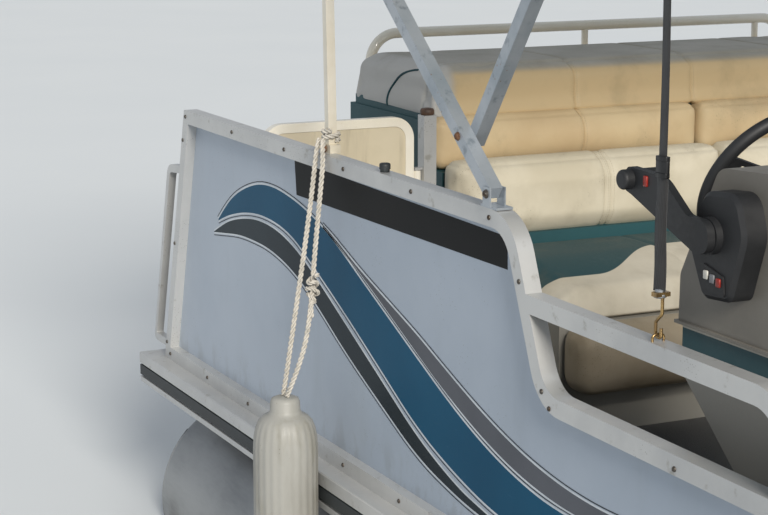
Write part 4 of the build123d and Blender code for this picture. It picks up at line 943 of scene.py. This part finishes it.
# %% The lounge's cushions: finish, resting side, modules, and aft and forward corners of their ends
Cushion = namedtuple("Cushion", "foam node coat resting low high")
MODULES = ((-0.550, 0.3345), (0.3395, 1.110))
WHOLE_WIDTH = ((-0.550, 1.110),)
lounge = {
    "lounge_seats": ("seat_vinyl", "down", MODULES, (0.8023, 0.2963), (1.3495, 0.412)),
    "lounge_lower_backs": ("cream_vinyl", "aft", MODULES, (0.6903, 0.415), (0.806, 0.648)),
    "lounge_upper_backs": ("tan_vinyl", "aft", MODULES, (0.5603, 0.6003), (0.676, 0.760)),
    "lounge_top_pad": ("pad_vinyl", "down", WHOLE_WIDTH, (0.0855, 0.740), (0.644, 0.884)),
    "lounge_front_roll": ("roll_vinyl", "aft", MODULES[:1], (1.3518, 0.130), (1.491, 0.316)),
}
CORNER, ROLL_CORNER = 0.028, 0.045


def rounded_block(name, low, high, corner):
    """A foam block between two corners, with its edges rounded."""
    shape = bmesh.new()
    bmesh.ops.create_cube(shape, size=1.0)
    for vertex in shape.verts:
        vertex.co = Vector([low[i] if vertex.co[i] < 0 else high[i] for i in range(3)])
    edges = shape.edges[:]
    bmesh.ops.bevel(shape, geom=edges, offset=corner, segments=4, profile=0.5, affect="EDGES")
    mesh = bpy.data.meshes.new(name)
    shape.to_mesh(mesh)
    shape.free()
    return linked(name, mesh)


cushions = []
for node, (coat, resting, modules, (aft, foot), (fore, top)) in lounge.items():
    corner = ROLL_CORNER if node == "lounge_front_roll" else CORNER
    for i, (starboard, port) in enumerate(modules):
        low = place(aft + 0.002, starboard + 0.001, foot)
        high = place(fore - 0.007, port - 0.001, top - 0.009)
        foam = rounded_block(f"{node}_{i}", low, high, corner)
        cushions.append(Cushion(foam, node, coat, resting, low, high))

# %% The benches' cushions: a long bench has two side by side
BENCH_FOOT, LONGEST = 0.2963, 1.2
bench_runs = ((1.357, 2.400, 1), (4.300, 6.050, 1), (4.300, 6.050, -1))
bench_rows = {
    "bench_seats": ("cream_vinyl", (0.560, 1.0157), 0.400),
    "bench_backs": ("tan_vinyl", (1.016, 1.110), 0.735),
}
for node, (coat, reach, top) in bench_rows.items():
    for i, (aft, fore, side) in enumerate(bench_runs):
        starboard, port = sorted(side * across for across in reach)
        resting = "down" if node == "bench_seats" else {1: "port", -1: "starboard"}[side]
        cuts = 2 if fore - aft > LONGEST else 1
        length = (fore - aft) / cuts
        for half in range(cuts):
            start, end = aft + half * length, aft + (half + 1) * length
            low = place(start + 0.004, starboard + 0.003, BENCH_FOOT + 0.002)
            high = place(end - 0.004, port - 0.003, top - 0.010)
            foam = rounded_block(f"{node}_{i}_{half}", low, high, CORNER)
            cushions.append(Cushion(foam, node, coat, resting, low, high))
print("blocks", len(cushions))

# %% Each block is cut into even faces, the seats are sloped, and the resting face is marked
LOUNGE_GRAIN, BENCH_GRAIN = 0.013, 0.019
HELD_WITHIN = 0.012
SLOPE_FROM, SLOPE_LENGTH, SLOPE_DROP = 1.06, 0.29, 0.58
REST_SIDES = {"down": (2, "low"), "aft": (0, "low"), "port": (1, "high"), "starboard": (1, "low")}
for block in cushions:
    cut = block.foam.modifiers.new("cut", "REMESH")
    grain = LOUNGE_GRAIN if block.node.startswith("lounge") else BENCH_GRAIN
    cut.mode, cut.voxel_size = "VOXEL", grain
    vertices = plain_mesh(block.foam).data.vertices
    if block.node == "lounge_seats":
        for vertex in vertices:
            forward = min(max(vertex.co.x - STERN - SLOPE_FROM, 0.0) / SLOPE_LENGTH, 1.0)
            share = 1.0 - SLOPE_DROP * forward ** 1.6
            vertex.co.z = block.low.z + (vertex.co.z - block.low.z) * share
    axis, end = REST_SIDES[block.resting]
    wall = getattr(block, end)[axis]
    held = [v.index for v in vertices if abs(v.co[axis] - wall) < HELD_WITHIN]
    block.foam.vertex_groups.new(name="held").add(held, 1.0, "REPLACE")

# %% The vinyl is blown up from inside, all cushions at once
BLOW_FRAMES, FARTHEST = 20, 0.018
for block in cushions:
    blown = block.foam.modifiers.new("blown", "CLOTH")
    settings = blown.settings
    settings.quality, settings.mass = 5, 0.25
    settings.tension_stiffness = settings.compression_stiffness = 18.0
    settings.shear_stiffness, settings.bending_stiffness = 8.0, 1.0
    settings.use_pressure, settings.uniform_pressure_force = True, 4.0
    settings.effector_weights.gravity = 0.0
    settings.vertex_group_mass = "held"
    blown.point_cache.frame_start, blown.point_cache.frame_end = 1, BLOW_FRAMES
for frame_number in range(1, BLOW_FRAMES + 1):
    scene.frame_set(frame_number)
for block in cushions:
    before = [v.co.copy() for v in block.foam.data.vertices]
    vertices = plain_mesh(block.foam).data.vertices
    moved = [(v.co - was).length for v, was in zip(vertices, before)]
    for vertex, was, far in zip(vertices, before, moved):
        if far > FARTHEST:
            vertex.co = was + (vertex.co - was) * (FARTHEST / far)
    print(block.foam.name, "faces", len(block.foam.data.polygons), "pushed out", round(max(moved), 4))
scene.frame_set(1)

# %% [markdown]
# Where two panels of vinyl are sewn together the edge is pulled in a few millimetres and a
# row of stitches shows beside it. The seam is pressed into the finished skin here, as a soft
# valley along a plane, which also keeps every cushion one closed piece.

# %% Seams pressed into the skins
SEAMS = {
    "lounge_upper_backs": (-0.070, 0.725),
    "lounge_lower_backs": (-0.078, -0.058, 0.725),
    "lounge_seats": (-0.070, 0.725),
    "lounge_top_pad": (-0.070, 0.337, 0.725),
}


def press_seam(made, axis, at, depth=0.006, width=0.011):
    """A valley in a skin along the plane where one coordinate has a value."""
    mesh = made.data
    normals = [v.normal.copy() for v in mesh.vertices]
    for vertex, normal in zip(mesh.vertices, normals):
        away = abs(vertex.co[axis] - at) / width
        if away < 2.0:
            vertex.co -= normal * depth * math.exp(-2.2 * away * away)


def seam_places(block):
    """The Y of every seam that crosses a cushion between its two ends."""
    return [at for at in SEAMS.get(block.node, ()) if block.low.y + 0.05 < at < block.high.y - 0.05]


for block in cushions:
    rounder = block.foam.modifiers.new("round", "SUBSURF")
    rounder.levels = rounder.render_levels = 1
    plain_mesh(block.foam)
    for at in seam_places(block):
        press_seam(block.foam, 1, at)
    if block.node in ("lounge_lower_backs", "lounge_upper_backs"):
        press_seam(block.foam, 2, block.high.z - 0.012, depth=0.003, width=0.006)
    if block.node == "lounge_top_pad":
        press_seam(block.foam, 0, block.high.x - 0.075, depth=0.005, width=0.008)
    mesh = block.foam.data
    mesh.shade_smooth()
    mesh.materials.clear()
    mesh.materials.append(looks[block.coat])
    mounted(block.foam)
for block in cushions:
    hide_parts(block.node)
print("cushions", len(cushions), "in place of", sorted({block.node for block in cushions}))

# %% [markdown]
# ## Welts and stitches
# Along each seam runs a thin welt of the same vinyl, with a row of short stitches on each
# side. The welt is laid on the finished skin by sending rays in from outside, so it follows
# the crown exactly, and the stitches start every eight millimetres, as a heavy machine's do.


# %% Lines traced on a skin
def skin_tree(made):
    """A search tree over an object's faces."""
    points, faces = [v.co for v in made.data.vertices], [tuple(f.vertices) for f in made.data.polygons]
    return BVHTree.FromPolygons(points, faces)


def traced(tree, middle, first, second, start, end, count=90):
    """Points where rays from a ring round a middle meet a skin, from one angle to another."""
    found = []
    for k in range(count):
        angle = math.radians(start + (end - start) * k / (count - 1))
        out = first * math.cos(angle) + second * math.sin(angle)
        spot, normal, face, gap = tree.ray_cast(middle + out * 1.2, -out)
        if spot:
            found.append((spot, normal))
    return found


def welt_along(spots, radius):
    """Points and faces of a welt along spots found on a skin."""
    return tube_along(evenly(spots, 0.006), radius)


# %% Welts and stitches beside the seams
ROW_AWAY, STITCH, THREAD = 0.007, 0.004, 0.00045
welts, stitches = {}, []
for block in cushions:
    if not block.node.startswith("lounge") or block.node == "lounge_seats":
        continue
    tree = skin_tree(block.foam)
    middle = (block.low + block.high) / 2
    end = 165 if block.node == "lounge_top_pad" else 100
    for at in seam_places(block):
        lines = []
        for away in (0.0, -ROW_AWAY, ROW_AWAY):
            lines.append(traced(tree, Vector((middle.x, at + away, middle.z)), ALONG, UP, -70, end))
        welt = welt_along([spot for spot, normal in lines[0]], 0.0021)
        welts.setdefault(block.coat, []).append(welt)
        for hits in lines[1:]:
            ends = evenly([spot + normal * 0.0002 for spot, normal in hits], STITCH)
            stitches += [tube_along(pair, THREAD, 5) for pair in zip(ends[::2], ends[1::2])]

# %% The teal welt on the starboard end of the top pad, an arc found by rays from outboard
pad = next(block.foam for block in cushions if block.node == "lounge_top_pad")
pad_skin, arc = skin_tree(pad), []
for k in range(60):
    angle = math.radians(84 * k / 59)
    aim = place(0.500 - 0.175 * math.cos(angle), -1.0, 0.752 + 0.118 * math.sin(angle))
    arc.append(pad_skin.ray_cast(aim, ACROSS)[0])
welts["teal_vinyl"] = [welt_along([spot for spot in arc if spot], 0.004)]
for coat, tubes in welts.items():
    piece("welts_" + coat, merged(tubes), coat)
finish("thread", "B3A78C", "A3977B", 90, 900, 0.3, 0.2, (0.6, 0.8))
piece("seam_stitches", merged(stitches), "thread")
print("welts", sum(len(tubes) for tubes in welts.values()), "stitches", len(stitches))

# %% [markdown]
# ## Canopy
# The canopy is coated cloth drawn over three bows and laced down at the skirt. Between the
# bows it sags by a centimetre, and over each bow a pocket is sewn across, so it shows two
# seam lines. It is one closed skin about a millimetre and a half thick.

# %% Canopy measures and finish
finish("canopy_cloth", "1F4F57", "1A434B", 2, 2400, 0.35, 0.5, (0.62, 0.8), grain=weave, mirror=0.3,
       sheen=0.15)
stain("canopy_cloth", "5C6F6C", 0.35, Scale=3, Low=0.52, High=0.76)
BOW_TOPS = (0.624, 1.766, 2.783)
CANOPY_AFT, CANOPY_FORE = 0.594, 2.813
CANOPY_HALF, CANOPY_CROWN, CANOPY_BEND, SKIRT = 1.1885, 1.9655, 0.090, 0.098
CLOTH, SAG, RIPPLE = 0.0015, 0.010, 0.0015
POCKET_HALF, SEAM_DEPTH, SEAM_HALF = 0.030, 0.0008, 0.004
CANOPY_STEPS = 120


def canopy_profile(inset):
    """Y and Z of the canopy from one skirt over to the other, a given depth inside its face."""
    half, crown, bend = CANOPY_HALF - inset, CANOPY_CROWN - inset, CANOPY_BEND - inset
    rise = (SKIRT - CANOPY_BEND) / 3
    skirt = [(-half, crown - SKIRT + inset + rise * k) for k in range(3)]
    quarter = [math.pi / 2 * k / 10 for k in range(11)]
    skirt += [(-half + bend - bend * math.cos(a), crown - bend + bend * math.sin(a)) for a in quarter]
    flat = [(-half + bend + 2 * (half - bend) * k / 40, crown) for k in range(1, 40)]
    return skirt + flat + [(-y, z) for y, z in reversed(skirt)]


# %% Canopy cloth
outer_line, inner_line = canopy_profile(0.0), canopy_profile(CLOTH)
rings = []
for step in range(CANOPY_STEPS + 1):
    along = CANOPY_AFT + (CANOPY_FORE - CANOPY_AFT) * step / CANOPY_STEPS
    near = min(abs(along - top) for top in BOW_TOPS)
    sag = SAG * (0.5 - 0.5 * math.cos(math.pi * min(near / 0.55, 1.0)))
    seam = SEAM_DEPTH * math.exp(-((near - POCKET_HALF) / SEAM_HALF) ** 2)
    ring = []
    for y, z in outer_line + inner_line[::-1]:
        flat = max(0.0, 1.0 - (abs(y) / CANOPY_HALF) ** 4)
        ripple = RIPPLE * noise.noise(Vector((along * 5, y * 3, 0.0)))
        ring.append(place(along, y, z - (sag + seam + abs(ripple)) * flat))
    rings.append(ring)
canopy = piece("canopy_cloth", sweep(rings), "canopy_cloth")
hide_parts("bimini_canopy")

# %% Two rows of stitching along each hem
HEM_UP, HEM_GAP, HEM_STEP = 0.010, 0.012, 0.04425
hems = []
for side in (-1, 1):
    out = side * (CANOPY_HALF + 0.0002)
    for up in (CANOPY_CROWN - SKIRT + HEM_UP, CANOPY_CROWN - SKIRT + HEM_UP + HEM_GAP):
        row = [place(CANOPY_AFT + 0.004 + i * HEM_STEP, out, up) for i in range(51)]
        hems.append(tube_along(row, 0.0006, 5))
piece("canopy_hem_stitching", merged(hems), "thread")

# %% [markdown]
# ## Welds
# The tubes are rolled in lengths and welded end to end, so a raised bead runs round each
# joint. The bead is laid on the tube by the same rays, and stops short of the keel and of
# the brackets under the deck.

# %% Weld beads round the tubes
TUBE_MIDDLE_UP = 0.345
beads = []
for node in ("pontoon_starboard", "pontoon_port"):
    low, high = (Vector(corner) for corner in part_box(node))
    shell = skin_tree(nodes[node])
    for joint in (-2.55, -1.05, 0.45, 1.95):
        middle = Vector((joint, (low.y + high.y) / 2, low.z + TUBE_MIDDLE_UP))
        for start, end in ((-66, 42), (138, 246)):
            hits = traced(shell, middle, ACROSS, UP, start, end, count=60)
            beads.append(tube_along(evenly([spot for spot, normal in hits], 0.012), 0.0028))
piece("weld_beads", merged(beads), "tube_aluminium")
print("weld beads", len(beads))

# %% [markdown]
# ## Straps
# Each canopy strap is flat webbing that leaves the forward bow edge on, turns a few degrees
# on its way down, and comes back doubled through its buckle to the snap hook.

# %% Straps: foot, top, turn at each in degrees, and thickness
WEBBING = 0.0254
strap_runs = ((0.712, 0.930, 20.0, 6.0, 0.0054), (0.930, 1.8467, -1.0, -8.0, 0.0020))


def strap_spot(side, up):
    """A point on the middle of a strap."""
    return place(2.726, side * 1.151, up)


def webbing_ways(side, degrees):
    """The way the webbing's width runs and the way it faces, turned from straight ahead."""
    c, s = math.cos(math.radians(degrees)), math.sin(math.radians(degrees))
    return Vector((c, -side * s, 0.0)), Vector((side * s, c, 0.0))


straps = []
for side in (-1, 1):
    for low, high, start, end, thick in strap_runs:
        rings = []
        for share in (k / 60 for k in range(61)):
            flat, facing = webbing_ways(side, start + (end - start) * share)
            middle = strap_spot(side, low + (high - low) * share)
            middle += facing * 0.0012 * math.sin(share * 9.0)
            rings.append(cut_corners(middle, flat, facing, WEBBING, thick, (0.94, 0.5)))
        straps.append(sweep(rings))
webbing_straps = piece("canopy_straps", merged(straps), "strap_webbing")
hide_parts("bimini_straps")

# %% Buckles and swivels
finish("buckle_black", "161617", "222224", 30, 500, 0.12, 0.3, (0.3, 0.5))
bars = ((0.918, 0.926, 0.030, 0.012), (0.926, 0.948, 0.032, 0.0095), (0.948, 0.956, 0.030, 0.012))
buckles = []
for side in (-1, 1):
    flat, facing = webbing_ways(side, 6.0)
    for low, high, wide, thick in bars:
        levels = [strap_spot(side, up) for up in (low, low + 0.001, high - 0.001, high)]
        buckles.append(sweep([cut_corners(at, flat, facing, wide, thick, (0.85, 0.6)) for at in levels]))
piece("strap_buckles", merged(buckles), "buckle_black")

finish("swivel_steel", "B9BDC0", "9DA1A4", 50, 600, 0.12, 0.3, (0.22, 0.36), metal=0.7)
swivel_profile = [
    (0.0, 0.0), (0.010, 0.0), (0.0125, 0.002), (0.0125, 0.007), (0.009, 0.010), (0.009, 0.015),
    (0.0, 0.016),
]
for side, label in SIDES:
    swivel = turned(swivel_profile, place(2.728, side * 1.151, 0.7005), UP)
    piece("strap_swivel_" + label, swivel, "swivel_steel")
print("straps", len(straps), "buckle bars", len(buckles))

# %% [markdown]
# ## Helm
# The helm is what the hand finds first: a black throttle box with a blank pad of three
# buttons, a red rocker on the lever, round dials let into the dash, and a key switch. Each
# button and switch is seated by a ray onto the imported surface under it, so nothing floats.


# %% Seating a piece on a packed surface
def seat_on(node, start, direction):
    """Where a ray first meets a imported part, and the way the surface faces there."""
    spot, facing, face, gap = skin_tree(nodes[node]).ray_cast(start, direction)
    return spot, facing


def button(name, node, start, direction, size, rise, coat):
    """A small block with cut corners standing on a packed surface."""
    spot, facing = seat_on(node, start, direction)
    side = facing.cross(UP).normalized()
    top = side.cross(facing).normalized()
    rings = []
    for height, share in ((-0.001, 1.0), (rise * 0.6, 1.0), (rise * 0.9, 0.94), (rise, 0.82)):
        wide, tall = size[0] * share, size[1] * share
        rings.append(cut_corners(spot + facing * height, side, top, wide, tall, (0.8, 0.8)))
    return piece(name, sweep(rings), coat)


# %% Buttons, rocker and switches
plastics = {"red": ("9A2E24", "84261D"), "white": ("D8D6CE", "C4C2B9"), "grey": ("84868A", "727478")}
for name, (colour, drift) in plastics.items():
    finish(name + "_plastic", colour, drift, 30, 500, 0.08, 0.2, (0.3, 0.45))
for name, along, up in (("white", 2.757, 0.741), ("grey", 2.777, 0.737), ("red", 2.796, 0.733)):
    start = place(along, -1.40, up)
    button("pad_button_" + name, "throttle_box", start, ACROSS, (0.013, 0.016), 0.003, name + "_plastic")
start = place(2.596, -1.40, 0.889)
button("trim_rocker", "throttle_lever", start, ACROSS, (0.012, 0.020), 0.004, "red_plastic")
for k, across in enumerate((-0.850, -0.880)):
    start = place(2.50, across, 0.765)
    button(f"dash_switch_{k}", "console_upper", start, ALONG, (0.014, 0.024), 0.004, "black_mould")

# %% Key switch and dials
finish("bezel_steel", "A9ABAD", "8F9193", 40, 600, 0.1, 0.3, (0.18, 0.3), metal=0.8)
finish("dial_black", "0E0F10", "17181A", 30, 600, 0.05, 0.2, (0.12, 0.2), coat=0.6)
key_profile = [(0.0, -0.001), (0.012, -0.001), (0.012, 0.003), (0.008, 0.006), (0.0, 0.006)]
key = turned(key_profile, *seat_on("console_upper", place(2.50, -0.585, 0.745), ALONG))
piece("key_switch", key, "bezel_steel")

dial_profile = [(0.0, 0.0061), (0.0414, 0.0061), (0.0414, 0.0068), (0.0300, 0.0071), (0.0, 0.0072)]
DASH_FACING, DASH_UP = Vector((-0.8827, 0.0, 0.4700)), Vector((0.4700, 0.0, 0.8827))
RIM_RADIUS, RIM_THICK, RIM_RISE, TICK_RISE, NEEDLE_RISE = 0.045, 0.0028, 0.0123, 0.0071, 0.0084
TICKS, TICK_STEP, FIRST_TICK, NEEDLE_AT = 21, 13.5, -135, -120


def dial_way(angle):
    """The way out from a dial's middle at an angle from straight up."""
    return DASH_UP * math.cos(angle) + ACROSS * math.sin(angle)


def dial_mark(middle, degrees, start, end, radius, sides):
    """A thin rod that points out from a dial's middle."""
    out = dial_way(math.radians(degrees))
    return tube_along([middle + out * start, middle + out * end], radius, sides)


ticks, needles = [], []
for label, across in (("starboard", -0.820), ("port", -0.520)):
    middle = place(2.6798, across, 0.8645)
    face = turned(dial_profile, middle, DASH_FACING, 40)
    piece("dial_" + label, face, "dial_black")
    rim = []
    for out in map(dial_way, turns(48)):
        centre = middle + DASH_FACING * RIM_RISE + out * RIM_RADIUS
        rim.append(circle(centre, out, DASH_FACING, RIM_THICK, 8))
    piece("dial_rim_" + label, sweep(rim, closed=True), "bezel_steel")
    for k in range(TICKS):
        inner = 0.030 if k % 5 == 0 else 0.034
        degrees = FIRST_TICK + TICK_STEP * k
        ticks.append(dial_mark(middle + DASH_FACING * TICK_RISE, degrees, inner, 0.039, 0.0006, 5))
    hub = middle + DASH_FACING * NEEDLE_RISE
    needles.append(dial_mark(hub, NEEDLE_AT, -0.006, 0.033, 0.0009, 6))
piece("dial_ticks", merged(ticks), "white_plastic")
piece("dial_needles", merged(needles), "red_plastic")
print("dials", len(needles), "ticks", len(ticks))
